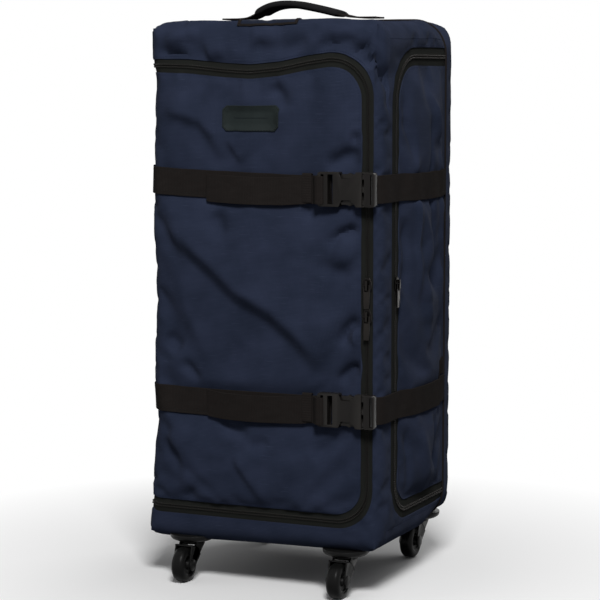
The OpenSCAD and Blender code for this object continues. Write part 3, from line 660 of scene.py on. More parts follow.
near_zip = np.exp(-(((z - ZIP_Z1) / DIP_REACH) ** 2)) * fade(y, FOLD_Y, FOLD_Y - 20)
start[:, 2] += near_zip * np.interp(x, DIP_X, DIP_Z)
near_left = fade(x, -80, -177) * fade(y, FOLD_Y, FOLD_Y - 17)
start[:, 0] += near_left * np.interp(z, WAIST_Z, WAIST_IN)
near_top = fade(z, 730, 800) * fade(y, 60, -100)
start[:, 2] -= near_top * (CORNER_DROOP * fade(np.abs(x), 100, 177) + LEFT_DROOP * fade(x, -130, -175))
near_foot = fade(z, 100, 66) * fade(y, -60, -140)
start[:, 2] -= near_foot * np.interp(x, SAG_X, SAG_Z)
middle_y = (POCKET_Y + SEAM_Y) / 2
dome = np.maximum(1 - ((y - middle_y) / (SEAM_Y - middle_y)) ** 2, 0)
inside = fade(-pocket_distance(y, z), POCKET_TAPE_W, POCKET_TAPE_W + 35)
start[:, 0] += on_right * POCKET_BULGE * dome * inside
print("held points:", int((hold > 0).sum()), "of", len(box))

# %% [markdown]
# Blender's cloth solver reads those weights as pins: 1 stays where it is, 0 is free. Pressure
# swells the cloth a little, a negative shrink gives it more length than the form needs, and a cap
# on the movement keeps the result near the solids. Only the points of the last frame are kept.

# %% Cloth simulation
SIM_FRAMES = 22
MOST_MOVE = 9.0
GRAVITY_SHARE = 0.25
# Light cloth that resists a pull more than a push, with 1.2 % of spare length
FABRIC = {
    "quality": 6, "mass": 0.3, "tension_stiffness": 25, "compression_stiffness": 5,
    "shear_stiffness": 5, "bending_stiffness": 4, "air_damping": 5, "shrink_min": -0.012,
    "use_pressure": True, "uniform_pressure_force": 1.2,
}


def settle(points, faces, weights):
    """The points after a cloth simulation that leaves the held ones in place."""
    mesh = bpy.data.meshes.new("settling")
    mesh.from_pydata((points * MM).tolist(), [], faces.tolist())
    cloth = bpy.data.objects.new("settling", mesh)
    scene.collection.objects.link(cloth)
    group = cloth.vertex_groups.new(name="held")
    for weight in np.unique(weights[weights > 0]):
        group.add(np.nonzero(weights == weight)[0].tolist(), float(weight), "REPLACE")
    solver = cloth.modifiers.new("cloth", "CLOTH")
    solver.settings.vertex_group_mass = "held"
    for setting, value in FABRIC.items():
        setattr(solver.settings, setting, value)
    solver.settings.effector_weights.gravity = GRAVITY_SHARE
    solver.collision_settings.use_collision = False
    solver.point_cache.frame_end = SIM_FRAMES
    for number in range(1, SIM_FRAMES + 1):
        scene.frame_set(number)
    settled = cloth.evaluated_get(bpy.context.evaluated_depsgraph_get())
    found = np.empty(len(points) * 3)
    settled.data.vertices.foreach_get("co", found)
    bpy.data.objects.remove(cloth)
    bpy.data.meshes.remove(mesh)
    scene.frame_set(1)
    return found.reshape(-1, 3) / MM


moved = np.zeros_like(start)
moved = settle(start, skin_quads, hold) - start
reach = np.linalg.norm(moved, axis=1)
moved *= (np.minimum(reach, MOST_MOVE) / np.maximum(reach, 1e-9))[:, None]
print("cloth settled, largest move", round(float(np.linalg.norm(moved, axis=1).max()), 1), "mm")

# %% [markdown]
# ## The folds of this bag
# A simulation gives folds of the right kind, but not the ones in the picture. The main ones are
# drawn over it as strokes: each is a bent line on the cloth with a height and a width. A step
# raises the cloth on one side of its line, and a crease presses it in along the line.

# %% Drawn folds


def to_stroke(line, a, b):
    """Signed distance of points from a bent line, and how far along it they are, from 0 to 1."""
    best = np.full(a.shape, np.inf)
    signed = np.zeros(a.shape)
    along = np.zeros(a.shape)
    steps = [math.dist(p, q) for p, q in zip(line[:-1], line[1:])]
    gone = 0.0
    for (p, q), length in zip(zip(line[:-1], line[1:]), steps):
        da, db = (q[0] - p[0]) / length, (q[1] - p[1]) / length
        t = np.clip((a - p[0]) * da + (b - p[1]) * db, 0, length)
        ea, eb = a - p[0] - t * da, b - p[1] - t * db
        distance = np.hypot(ea, eb)
        nearer = distance < best
        best = np.where(nearer, distance, best)
        signed = np.where(nearer, np.copysign(distance, da * eb - db * ea), signed)
        along = np.where(nearer, (gone + t) / sum(steps), along)
        gone += length
    return signed, along


def crease(line, height, width, a, b):
    """A rounded groove or, with a positive height, a ridge, that fades at both ends."""
    signed, along = to_stroke(line, a, b)
    return height * np.exp(-((signed / width) ** 2)) * smoothstep(4 * along * (1 - along))


def step(line, height, width, reach, a, b):
    """A slope along the line, raised on its left side, that dies away over a distance."""
    signed, along = to_stroke(line, a, b)
    rise = smoothstep((signed + width) / (2 * width)) * np.exp(-np.maximum(signed - width, 0) / reach)
    return height * rise * smoothstep(5 * along * (1 - along))


# Lines on the flap, across and up in mm, with the height, the half width and how far it dies away
FLAP_STEPS = [
    ([(-160, 514), (-125, 490), (-74, 452), (-34, 416), (18, 390), (53, 364), (79, 335), (99, 301)],
     14, 12, 70),
    ([(-158, 668), (-123, 662), (-92, 653), (-75, 636), (-66, 617), (-60, 599)], 8, 8, 40),
    ([(-52, 635), (-41, 620), (-26, 600)], 5, 5, 30),
    ([(-41, 195), (-32, 178), (-19, 159), (-4, 142), (10, 123)], 7, 6, 45),
    ([(-154, 217), (-127, 187), (-117, 147), (-111, 129)], 7, 9, 45),
]
# Grooves, or ridges where the height is positive: line, height and width
FLAP_CREASES = [
    ([(16, 714), (34, 693), (37, 670)], -7.7, 10.8),
    ([(100, 596), (128, 610), (154, 617)], -9.6, 10.8),
    ([(135, 633), (154, 639)], -5.8, 7.2),
    ([(64, 544), (88, 529)], -5.8, 9.6),
    ([(104, 489), (124, 506), (140, 512), (156, 508)], -9.6, 7.2),
    ([(112, 484), (134, 478), (152, 486)], 5.8, 16.8),
    ([(88, 466), (115, 456), (139, 452)], -5.8, 12),
    ([(124, 352), (133, 375), (143, 386), (156, 394)], -9.6, 7.2),
    ([(140, 356), (154, 372)], 5.8, 12),
    ([(118, 300), (136, 319), (157, 331)], -9.6, 7.2),
    ([(-152, 358), (-122, 336)], -9.6, 10.8),
    ([(-123, 322), (-107, 312), (-89, 294)], -7.7, 7.2),
    ([(79, 194), (99, 211), (115, 224), (135, 237)], -7.7, 10.8),
    ([(-63, 243), (-39, 228), (-14, 221)], -7.7, 8.4),
    ([(-16, 202), (17, 216)], -5.8, 8.4),
    ([(-66, 534), (-49, 495)], -7.7, 10.8),
    ([(-112, 112), (-102, 146)], -5.8, 7.2),
]
BORDER_CREASES = [
    ([(-48, 783), (-14, 764), (46, 760), (79, 774)], -9.6, 12),
    ([(85, 752), (120, 759), (149, 770)], -7.7, 9.6),
    ([(130, 741), (172, 764)], -9.6, 7.2),
    ([(176, 762), (187, 690)], -7.7, 6),
    ([(-167, 757), (-129, 748), (-80, 742)], -7.7, 7.2),
    ([(-151, 772), (-91, 781)], 7.7, 9.6),
    ([(-84, 753), (-48, 764)], 5.8, 9.6),
    ([(144, 729), (184, 748)], -7.7, 6),
]
# Lines in the side view: front to back and up
POCKET_CREASES = [
    ([(-88, 700), (-74, 652), (-47, 596)], -7.7, 8.4),
    ([(-10, 711), (14, 669), (43, 612)], 7.7, 10.8),
    ([(-46, 547), (-14, 496), (-4, 440)], 5.8, 10.8),
    ([(-80, 528), (-71, 409)], -7.7, 9.6),
    ([(9, 537), (31, 399)], -7.7, 10.8),
    ([(-26, 490), (-3, 331)], 5.8, 12),
    ([(-40, 225), (0, 138)], 5.8, 14.4),
    ([(-98, 690), (-94, 560), (-88, 470)], -6, 5),
    ([(-52, 650), (-46, 520), (-42, 380)], 6, 6),
    ([(-2, 700), (8, 560), (14, 420)], -7, 7),
    ([(46, 640), (52, 480), (48, 340)], 6, 6),
    ([(82, 610), (86, 400)], -6, 6),
    ([(-72, 235), (-62, 130)], -6, 6),
    ([(22, 250), (42, 130)], -7, 7),
]


# Over these distances the folds die away towards the zips and the straps
FLAP_FADE = 9.0
BORDER_FADE = 8.0
POCKET_FADE = 16.0
STRAP_FADE = (12.0, 26.0)


def fold_height(points):
    """Height of the drawn folds over the settled skin, at box points."""
    x, y, z = points.T
    across = x - np.where(x <= -HALF_W, y + HALF_D, 0)
    on_front = y <= FOLD_Y
    on_right = x >= HALF_W
    zip_gap = zip_distance(x, z)
    on_flap = fade(-zip_gap, TAPE_W, TAPE_W + FLAP_FADE) * on_front
    on_border = fade(zip_gap, TAPE_W, TAPE_W + BORDER_FADE) * on_front * (z > ZIP_Z0)
    on_pocket = fade(-pocket_distance(y, z), POCKET_TAPE_W, POCKET_TAPE_W + POCKET_FADE) * on_right
    height = np.zeros(len(points))
    if on_flap.any():
        for line, rise, width, length in FLAP_STEPS:
            height += on_flap * step(line, rise, width, length, across, z)
        for line, rise, width in FLAP_CREASES:
            height += on_flap * crease(line, rise, width, across, z)
    if on_border.any():
        for line, rise, width in BORDER_CREASES:
            height += on_border * crease(line, rise, width, x, z + y + HALF_D)
    if on_pocket.any():
        for line, rise, width in POCKET_CREASES:
            height += on_pocket * crease(line, rise, width, y, z)
    for strap_z in STRAPS.values():
        height *= fade(np.abs(z - strap_z), *STRAP_FADE)
    return height


folds = fold_height(box)
print("folds stand out", round(float(folds.max()), 1), "mm and go in", round(float(-folds.min()), 1), "mm")

# %% [markdown]
# Points between those of the grid are read with a smooth (cubic) curve through the four nearest
# on each axis, so a finer mesh shows no facets. The drawn folds are added at every point that is
# read, because some of them are narrower than the grid.

# %% Reading the skin


def outward_of(points, side):
    """Outward normals over a grid of points."""
    first = np.gradient(points, axis=0)
    second = np.gradient(points, axis=1)
    return unit(np.cross(first, second) * OUTWARD[side])


def padded_grid(grid):
    """The grid with one more row of points on each edge, carried on straight."""
    for axis in (0, 1):
        grid = np.moveaxis(grid, axis, 0)
        grid = np.concatenate([2 * grid[:1] - grid[1:2], grid, 2 * grid[-1:] - grid[-2:-1]])
        grid = np.moveaxis(grid, 0, axis)
    return grid


settled = start + moved
skin_grids = {side: padded_grid(settled[numbers[side]]) for side in SIDES}
skin_ways = {side: padded_grid(outward_of(settled[numbers[side]], side)) for side in SIDES}


def cubic(t):
    """Weights of the four nearest points of a cubic curve."""
    return np.stack([
        -0.5 * t + t ** 2 - 0.5 * t ** 3,
        1 - 2.5 * t ** 2 + 1.5 * t ** 3,
        0.5 * t + 2 * t ** 2 - 1.5 * t ** 3,
        -0.5 * t ** 2 + 0.5 * t ** 3,
    ])


def read_side(side, u, v):
    """Skin points at places on one side of the box, with the drawn folds."""
    grid, ways = skin_grids[side], skin_ways[side]
    _, value, first, second = SIDES[side]
    at = []
    for place, own, count in ((u, first, grid.shape[0] - 2), (v, second, grid.shape[1] - 2)):
        share = (place - LOW[own]) / (HIGH[own] - LOW[own]) * (count - 1)
        cell = np.clip(np.floor(share).astype(int), 0, count - 2)
        at.append((cell, cubic(share - cell)))
    (cell_u, weight_u), (cell_v, weight_v) = at
    place, way = 0, 0
    for i in range(4):
        for j in range(4):
            weight = (weight_u[i] * weight_v[j])[..., None]
            place = place + grid[cell_u + i, cell_v + j] * weight
            way = way + ways[cell_u + i, cell_v + j] * weight
    on_box = np.full((len(u), 3), value, float)
    on_box[:, first] = u
    on_box[:, second] = v
    return place + way * fold_height(on_box)[:, None]


def skin(points):
    """The skin's points and outward normals at box points."""
    points = np.asarray(points, float)
    flat = points.reshape(-1, 3)
    place = np.zeros_like(flat)
    out = np.zeros_like(flat)
    left = np.ones(len(flat), bool)
    tiny = 0.5
    for side, (axis, value, first, second) in SIDES.items():
        here = left & (np.abs(flat[:, axis] - value) < 1e-6)
        if not here.any():
            continue
        left &= ~here
        u, v = flat[here, first], flat[here, second]
        place[here] = read_side(side, u, v)
        normal = OUTWARD[side] * np.cross(
            read_side(side, u + tiny, v) - read_side(side, u - tiny, v),
            read_side(side, u, v + tiny) - read_side(side, u, v - tiny),
        )
        out[here] = unit(normal)
    if left.any():
        raise ValueError(f"{int(left.sum())} points are not on the box, such as {flat[left][0]}")
    return place.reshape(points.shape), out.reshape(points.shape)


print("skin ready")

# %% [markdown]
# ## Cutting the panels
# A panel is a grid of box points, sent through the skin and given a thickness inwards. Around a
# zip the grid has to follow rounded corners, so it is drawn as rays: each starts on the zip's
# line, leaves it at a right angle, and ends on the next seam. The thread map is laid out flat
# before the cloth bends over the edges, as the fabric was when it was cut.

# %% Sheets of cloth
CLOTH_STEP = 4.5
WALL = 2.4
HEM_ANGLE = math.radians(50)
WELD = 0.02
# A ray that ends this near to a corner of its rectangle is sent into the corner
CORNER_SNAP = 25.0


def span(first, last, pitch=CLOTH_STEP):
    """Evenly spaced values from one to the other, both included."""
    return np.linspace(first, last, max(1, math.ceil(abs(last - first) / pitch)) + 1)


def front_box(x, z):
    """Box points of a sheet that lies on the front and folds back over its edges."""
    x, z = np.broadcast_arrays(np.asarray(x, float), np.asarray(z, float))
    over = np.maximum(np.abs(x) - HALF_W, 0) + np.maximum(z - TOP_Z, 0) + np.maximum(BASE_Z - z, 0)
    return np.stack([np.clip(x, -HALF_W, HALF_W), over - HALF_D, np.clip(z, BASE_Z, TOP_Z)], -1)


def level_box(x, y, level):
    """Box points of a sheet on the top or the bottom that folds over its two sides."""
    x, y = np.broadcast_arrays(np.asarray(x, float), np.asarray(y, float))
    over = np.maximum(np.abs(x) - HALF_W, 0)
    height = TOP_Z - over if level > 0 else BASE_Z + over
    return np.stack([np.clip(x, -HALF_W, HALF_W), y, height], -1)


def side_box(side, y, z):
    """Box points on the left (-1) or the right (1)."""
    y, z = np.broadcast_arrays(np.asarray(y, float), np.asarray(z, float))
    return np.stack([np.full(y.shape, side * HALF_W), y, z], -1)


def thread_map(a, b):
    """Places on the flat cloth, for every point of a grid."""
    return np.stack(np.broadcast_arrays(np.asarray(a, float), np.asarray(b, float)), -1)


def patch(points, threads, lift=0.0):
    """A grid on the skin, lifted off it by a distance, with its normals and thread map."""
    place, out = skin(points)
    return place + out * np.asarray(lift)[..., None], out, threads


def finish_piece(piece, body, nodes=()):
    """Puts a piece in the scene, on its body if it has one, in place of its CAD nodes."""
    scene.collection.objects.link(piece)
    if body:
        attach(piece, body)
    if nodes:
        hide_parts(*nodes)
    return piece


def finished_mesh(piece):
    """A piece's mesh with its modifiers applied."""
    return bpy.data.meshes.new_from_object(piece.evaluated_get(bpy.context.evaluated_depsgraph_get()))


def round_edges(piece, width, angle):
    """Rounds the edges of a piece that turn by more than an angle, to a width in mm."""
    soft = piece.modifiers.new("edges", "BEVEL")
    soft.width = width * MM
    soft.segments = 2
    soft.limit_method = "ANGLE"
    soft.angle_limit = angle
    soft.harden_normals = True


def grid_mesh(name, patches, finishes):
    """One mesh from grids of points with normals and thread maps, joined where they meet."""
    points, faces, threads = [], [], []
    used = 0
    for place, out, flat in patches:
        count = place.shape[0] * place.shape[1]
        index = used + np.arange(count).reshape(place.shape[:2])
        used += count
        cell = np.cross(place[1:, :-1] - place[:-1, :-1], place[:-1, 1:] - place[:-1, :-1])
        faces.append(quads_of(index, (cell * out[:-1, :-1]).sum() < 0))
        points.append(place.reshape(-1, 3))
        threads.append(flat.reshape(-1, 2))
    faces = np.concatenate(faces)
    threads = np.concatenate(threads) * MM
    mesh = bpy.data.meshes.new(name)
    mesh.from_pydata(to_frame(np.concatenate(points)).tolist(), [], faces.tolist())
    mesh.uv_layers.new(name=UV_NAME).data.foreach_set("uv", threads[faces.ravel()].ravel())
    work = bmesh.new()
    work.from_mesh(mesh)
    bmesh.ops.remove_doubles(work, verts=work.verts, dist=WELD * MM)
    work.to_mesh(mesh)
    work.free()
    mesh.shade_smooth()
    for made in finishes:
        mesh.materials.append(made)
    return mesh


def sheet(name, patches, finishes, body, nodes, thick=WALL, outwards=False, edge=0.7):
    """A piece of cloth with a thickness and softly rounded edges."""
    piece = bpy.data.objects.new(name, grid_mesh(name, patches, finishes))
    solid = piece.modifiers.new("thickness", "SOLIDIFY")
    solid.thickness = thick * MM
    solid.offset = 1.0 if outwards else -1.0
    solid.material_offset = 1 if len(finishes) > 1 else 0
    if edge:
        round_edges(piece, edge, HEM_ANGLE)
    return finish_piece(piece, body, nodes)


def corner_heights(low, high, low_r, high_r, steps=12):
    """Heights of the rows of a panel, close together where its outline turns a corner."""
    turn = 1 - np.cos(np.linspace(0, math.pi / 2, steps))
    middle = span(low + low_r, high - high_r)[1:-1]
    return np.concatenate([low + low_r * turn, middle, (high - high_r * turn)[::-1]])


def corner_inset(z, low, high, low_r, high_r):
    """How far an outline with rounded corners lies inside its straight edge at a height."""
    below = np.clip(low + low_r - z, 0, low_r)
    above = np.clip(z - high + high_r, 0, high_r)
    return (low_r - np.sqrt(low_r ** 2 - below ** 2)) + (high_r - np.sqrt(high_r ** 2 - above ** 2))


def reach_edge(points, ways, low, high):
    """Where rays from points meet the edges of a rectangle, with one ray sent to each corner."""
    far = np.full(len(points), np.inf)
    for axis in (0, 1):
        way = ways[:, axis]
        edge = np.where(way > 0, high[axis], low[axis]) - points[:, axis]
        far = np.minimum(far, np.where(np.abs(way) > 1e-6, edge / np.where(way == 0, 1, way), np.inf))
    reached = points + ways * far[:, None]
    for corner in ((a, b) for a in (low[0], high[0]) for b in (low[1], high[1])):
        away = np.linalg.norm(reached - corner, axis=1)
        if away.min() < CORNER_SNAP:
            reached[np.argmin(away)] = corner
    return reached


def ray_band(points, ways, low, high, count):
    """Rays from a line out to the edges of a rectangle, as a grid of places."""
    ends = reach_edge(points, ways, low, high)
    return points[:, None] + (ends - points)[:, None] * np.linspace(0, 1, count)[None, :, None]


print("sheet tools ready")

# %% [markdown]
# The two zips run round the flap and round the pocket. Both routes are written once, as points
# with the direction that leads away from the opening, and everything along them uses these: the
# panels on both sides, the tapes, the teeth and the rows of stitches.

# %% Routes of the zips
TURN_STEPS = 24


def turn(centre, radius, first, last):
    """Points and directions of a rounded corner, angles in degrees."""
    angle = np.radians(np.linspace(first, last, TURN_STEPS + 1))
    way = np.stack([np.cos(angle), np.sin(angle)], -1)
    return np.asarray(centre) + radius * way, way


def straight(first, last, way, pitch=3.0):
    """Points and directions of a straight run."""
    first, last = np.asarray(first, float), np.asarray(last, float)
    steps = max(1, math.ceil(math.dist(first, last) / pitch))
    share = np.linspace(0, 1, steps + 1)[:, None]
    return first + (last - first) * share, np.tile(np.asarray(way, float), (steps + 1, 1))


def join_runs(*runs):
    """Runs one after the other, each shared point once."""
    points = np.concatenate([runs[0][0]] + [run[0][1:] for run in runs[1:]])
    ways = np.concatenate([runs[0][1]] + [run[1][1:] for run in runs[1:]])
    return points, ways


def main_zip_route(from_fold=True):
    """Middle of the main zip in the front view, from the top left to the bottom left."""
    left = FOLD_X if from_fold else -HALF_W
    return join_runs(
        straight((left, ZIP_Z1), (ZIP_X - ZIP_R, ZIP_Z1), (0, 1)),
        turn((ZIP_X - ZIP_R, ZIP_Z1 - ZIP_R), ZIP_R, 90, 0),
        straight((ZIP_X, ZIP_Z1 - ZIP_R), (ZIP_X, ZIP_Z0 + ZIP_R), (1, 0)),
        turn((ZIP_X - ZIP_R, ZIP_Z0 + ZIP_R), ZIP_R, 0, -90),
        straight((ZIP_X - ZIP_R, ZIP_Z0), (left, ZIP_Z0), (0, -1)),
    )


def pocket_zip_route():
    """Middle of the pocket zip in the side view, from the back of its top to the back of its foot."""
    return join_runs(
        straight((SEAM_Y, POCKET_Z1), (POCKET_Y + POCKET_TOP_R, POCKET_Z1), (0, 1)),
        turn((POCKET_Y + POCKET_TOP_R, POCKET_Z1 - POCKET_TOP_R), POCKET_TOP_R, 90, 180),
        straight((POCKET_Y, POCKET_Z1 - POCKET_TOP_R), (POCKET_Y, POCKET_Z0 + POCKET_LOW_R), (-1, 0)),
        turn((POCKET_Y + POCKET_LOW_R, POCKET_Z0 + POCKET_LOW_R), POCKET_LOW_R, 180, 270),
        straight((POCKET_Y + POCKET_LOW_R, POCKET_Z0), (SEAM_Y, POCKET_Z0), (0, -1)),
    )


print("main zip:", len(main_zip_route()[0]), "points, pocket zip:", len(pocket_zip_route()[0]), "points")

# %% [markdown]
# ### Front: flap and border
# The flap is one wide panel that wraps the left edge as far as its fold. The border is the strip
# of cloth outside the zip, which turns over the top, the right edge and the bottom.

# %% Flap and front border
FOLD_GAP = 0.4
CLOTH = (navy_polyester, black_lining)

inner_r = ZIP_R - TAPE_W
flap_low = ZIP_Z0 + TAPE_W
flap_high = ZIP_Z1 - TAPE_W
heights = corner_heights(flap_low, flap_high, inner_r, inner_r)
ends = ZIP_X - TAPE_W - corner_inset(heights, flap_low, flap_high, inner_r, inner_r)
wrap = span(FOLD_X + FOLD_GAP, -HALF_W)
shares = span(0, ZIP_X - TAPE_W + HALF_W) / (ZIP_X - TAPE_W + HALF_W)
flap_x = np.concatenate([
    np.tile(wrap[:-1, None], (1, len(heights))),
    -HALF_W + shares[:, None] * (ends + HALF_W)[None, :],
])
flap_grid = patch(front_box(flap_x, heights[None, :]), thread_map(flap_x, heights[None, :]))
flap = sheet("flap_cloth", [flap_grid], CLOTH, "flap", ["flap_panel"])

route, ways = main_zip_route(from_fold=False)
band = ray_band(route + ways * TAPE_W, ways, (-HALF_W, BASE_Z), (HALF_W, TOP_Z), 10)
edge_points = band[:, -1]
band_box = front_box(band[..., 0], band[..., 1])
back_run = span(0, HALF_D + FOLD_Y)
over_box = np.repeat(front_box(edge_points[:, 0], edge_points[:, 1])[:, None], len(back_run), 1)
over_box[..., 1] += back_run
over_flat = edge_points[:, None] + ways[:, None] * back_run[None, :, None]
patches = [patch(band_box, band), patch(over_box, over_flat)]
for z0, z1 in ((ZIP_Z1 + TAPE_W, TOP_Z), (BASE_Z, ZIP_Z0 - TAPE_W)):
    a, b = crossed(span(FOLD_X, -HALF_W), span(z0, z1))
    patches.append(patch(front_box(a, b), thread_map(a, b)))
border = sheet("front_border_cloth", patches, CLOTH, "bag", ["front_border"])
print("flap and border:", len(flap.data.polygons), len(border.data.polygons), "faces")

# %% [markdown]
# ### Sides, top, bottom and back
# The left side, the top and the bottom are plain sheets. The right side is a frame round the
# pocket, and the pocket itself is a padded front that swells. The back wraps both back edges and
# has a hole in its top for the cup of the trolley handle.

# %% Sides, top, bottom and back
a, b = crossed(span(FOLD_Y, SEAM_Y), span(LOW_SEAM, TOP_SEAM))
sheet("left_side_cloth", [patch(side_box(-1, a, b), thread_map(a, b))], CLOTH, "bag",
      ["left_side_panel"])

for name, level in (("top", 1), ("bottom", -1)):
    turned = TOP_Z - TOP_SEAM
    edge = span(HALF_W, HALF_W + turned)[1:]
    a, b = crossed(np.concatenate([-edge[::-1], span(-HALF_W, HALF_W), edge]), span(FOLD_Y, SEAM_Y))
    sheet(f"{name}_cloth", [patch(level_box(a, b, level), thread_map(a, b))], CLOTH, "bag",
          [f"{name}_panel"])

route, ways = pocket_zip_route()
band = ray_band(route + ways * POCKET_TAPE_W, ways, (FOLD_Y, LOW_SEAM), (SEAM_Y, TOP_SEAM), 7)
sheet("right_side_cloth", [patch(side_box(1, band[..., 0], band[..., 1]), band)], CLOTH, "bag",
      ["right_side_panel"])

low_r = POCKET_LOW_R - POCKET_TAPE_W
top_r = POCKET_TOP_R - POCKET_TAPE_W
pocket_low = POCKET_Z0 + POCKET_TAPE_W
pocket_high = POCKET_Z1 - POCKET_TAPE_W
heights = corner_heights(pocket_low, pocket_high, low_r, top_r)
begins = POCKET_Y + POCKET_TAPE_W + corner_inset(heights, pocket_low, pocket_high, low_r, top_r)
shares = span(0, SEAM_Y - POCKET_Y - POCKET_TAPE_W) / (SEAM_Y - POCKET_Y - POCKET_TAPE_W)
pocket_y = begins[None, :] + shares[:, None] * (SEAM_Y - FOLD_GAP - begins)[None, :]
pocket_grid = patch(side_box(1, pocket_y, heights[None, :]), thread_map(pocket_y, heights[None, :]))
sheet("pocket_cloth", [pocket_grid], CLOTH, "side_pocket", ["pocket_panel"])

CUP_HALF = 87.8
CUP_Y0 = 93.2
CUP_Y1 = 139.8
CUP_R = 4.4
patches = []
a, b = crossed(span(-HALF_W, HALF_W), span(BASE_Z, TOP_Z))
back_points = front_box(a, b) * (1, -1, 1)
patches.append(patch(back_points, thread_map(-a, b)))
for side in (-1, 1):
    a, b = crossed(span(SEAM_Y, HALF_D), span(BASE_Z, TOP_Z))
    patches.append(patch(side_box(side, a, b), thread_map(-side * (HALF_W + HALF_D - a), b)))
a, b = crossed(span(-HALF_W, HALF_W), span(SEAM_Y, HALF_D))
patches.append(patch(level_box(a, b, -1), thread_map(-a, BASE_Z - HALF_D + b)))
ring, ways = join_runs(
    straight((0, CUP_Y1), (-CUP_HALF + CUP_R, CUP_Y1), (0, 1), CLOTH_STEP),
    turn((-CUP_HALF + CUP_R, CUP_Y1 - CUP_R), CUP_R, 90, 180),
    straight((-CUP_HALF, CUP_Y1 - CUP_R), (-CUP_HALF, CUP_Y0 + CUP_R), (-1, 0), CLOTH_STEP),
    turn((-CUP_HALF + CUP_R, CUP_Y0 + CUP_R), CUP_R, 180, 270),
    straight((-CUP_HALF + CUP_R, CUP_Y0), (CUP_HALF - CUP_R, CUP_Y0), (0, -1), CLOTH_STEP),
    turn((CUP_HALF - CUP_R, CUP_Y0 + CUP_R), CUP_R, 270, 360),
    straight((CUP_HALF, CUP_Y0 + CUP_R), (CUP_HALF, CUP_Y1 - CUP_R), (1, 0), CLOTH_STEP),
    turn((CUP_HALF - CUP_R, CUP_Y1 - CUP_R), CUP_R, 0, 90),
    straight((CUP_HALF - CUP_R, CUP_Y1), (0, CUP_Y1), (0, 1), CLOTH_STEP),
)
band = ray_band(ring, ways, (-HALF_W, SEAM_Y), (HALF_W, HALF_D), 14)
patches.append(patch(level_box(band[..., 0], band[..., 1], 1), band * (-1, -1)))
sheet("back_cloth", patches, CLOTH, "bag", ["back_panel"])

# %% [markdown]
# ### The fold of the flap
# On the real bag the flap and the left side are one piece of cloth that bends. Here they belong to two
# bodies, so a strip of lining lies behind the fold, across the line where they part, and belongs to neither
# body.

# %% Strip behind the fold
FOLD_STRIP = 15.0
FOLD_BEND = 6.0
a, b = crossed(span(FOLD_Y - FOLD_STRIP, FOLD_Y + FOLD_STRIP, 2.5), span(ZIP_Z0 + TAPE_W, ZIP_Z1 - TAPE_W))
grid = patch(side_box(-1, a, b), thread_map(a, b), np.full(a.shape, -WALL - 0.3))
strip = sheet("fold_strip", [grid], (black_lining,), None, [], thick=0.8, edge=0.2)
strip.data = finished_mesh(strip)
strip.modifiers.clear()
ends = [to_frame((-HALF_W, FOLD_Y + way * FOLD_BEND, (ZIP_Z0 + ZIP_Z1) / 2)) for way in (1, -1)]
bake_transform(strip)
print("fold strip:", 2 * FOLD_STRIP, "mm wide")

# %% [markdown]
# ## Zips
# Each half of a zip is a woven tape, sewn a little below the cloth, with a row of plastic teeth on
# its edge. The teeth sit at an even pitch along the route and turn with it, which is what
# Geometry Nodes do well: the tree turns a line into a curve, walks along it in equal steps, and
# puts a rounded tooth at each, lined up with the curve and with the cloth's own outward normal.

# %% A tree that sets shapes along a line


def start_tree(name, sizes):
    """A new tree and its inputs: a geometry, sizes and a material."""
    tree = bpy.data.node_groups.new(name, "GeometryNodeTree")
    kinds = [("Geometry", "Geometry")] + [(label, "Float") for label in sizes] + [("Material", "Material")]
    for label, kind in kinds:
        tree.interface.new_socket(label, in_out="INPUT", socket_type="NodeSocket" + kind)
    tree.interface.new_socket("Geometry", in_out="OUTPUT", socket_type="NodeSocketGeometry")
    return tree, add(tree, "NodeGroupInput").outputs


def end_tree(tree, shape, material):
    """Makes the shapes of a tree real, smooth and painted, and hands them out."""
    real = add(tree, "GeometryNodeRealizeInstances", {"Geometry": shape})
    soft = add(tree, "GeometryNodeSetShadeSmooth", {"Geometry": real.outputs[0]})
    painted = add(tree, "GeometryNodeSetMaterial", {"Geometry": soft.outputs[0], "Material": material})
    add(tree, "NodeGroupOutput", {"Geometry": painted.outputs[0]})
    return tree


def row_tree(name):
    """Rounded beads at an even pitch along lines, turned with them: teeth and stitches."""
    tree, given = start_tree(name, ("Pitch", "Length", "Width", "Height"))
    curve = add(tree, "GeometryNodeMeshToCurve", {"Mesh": given["Geometry"]})
    even = add(tree, "GeometryNodeResampleCurve", {"Curve": curve.outputs[0], "Length": given["Pitch"]},
               mode="LENGTH")
    bead = add(tree, "GeometryNodeMeshIcoSphere", {"Radius": 0.5, "Subdivisions": 1})
    size = add(tree, "ShaderNodeCombineXYZ",
               {"X": given["Length"], "Y": given["Width"], "Z": given["Height"]})
    shaped = add(tree, "GeometryNodeTransform", {"Geometry": bead.outputs["Mesh"], "Scale": size.outputs[0]})
    along = add(tree, "GeometryNodeInputTangent")
    out = add(tree, "GeometryNodeInputNamedAttribute", {"Name": "out"}, data_type="FLOAT_VECTOR")
    turned = add(tree, "FunctionNodeAxesToRotation",
                 {"Primary Axis": along.outputs[0], "Secondary Axis": out.outputs[0]},
                 primary_axis="X", secondary_axis="Z")
    placed = add(tree, "GeometryNodeInstanceOnPoints",
                 {"Points": even.outputs[0], "Instance": shaped.outputs[0], "Rotation": turned.outputs[0]})
    return end_tree(tree, placed.outputs[0], given["Material"])


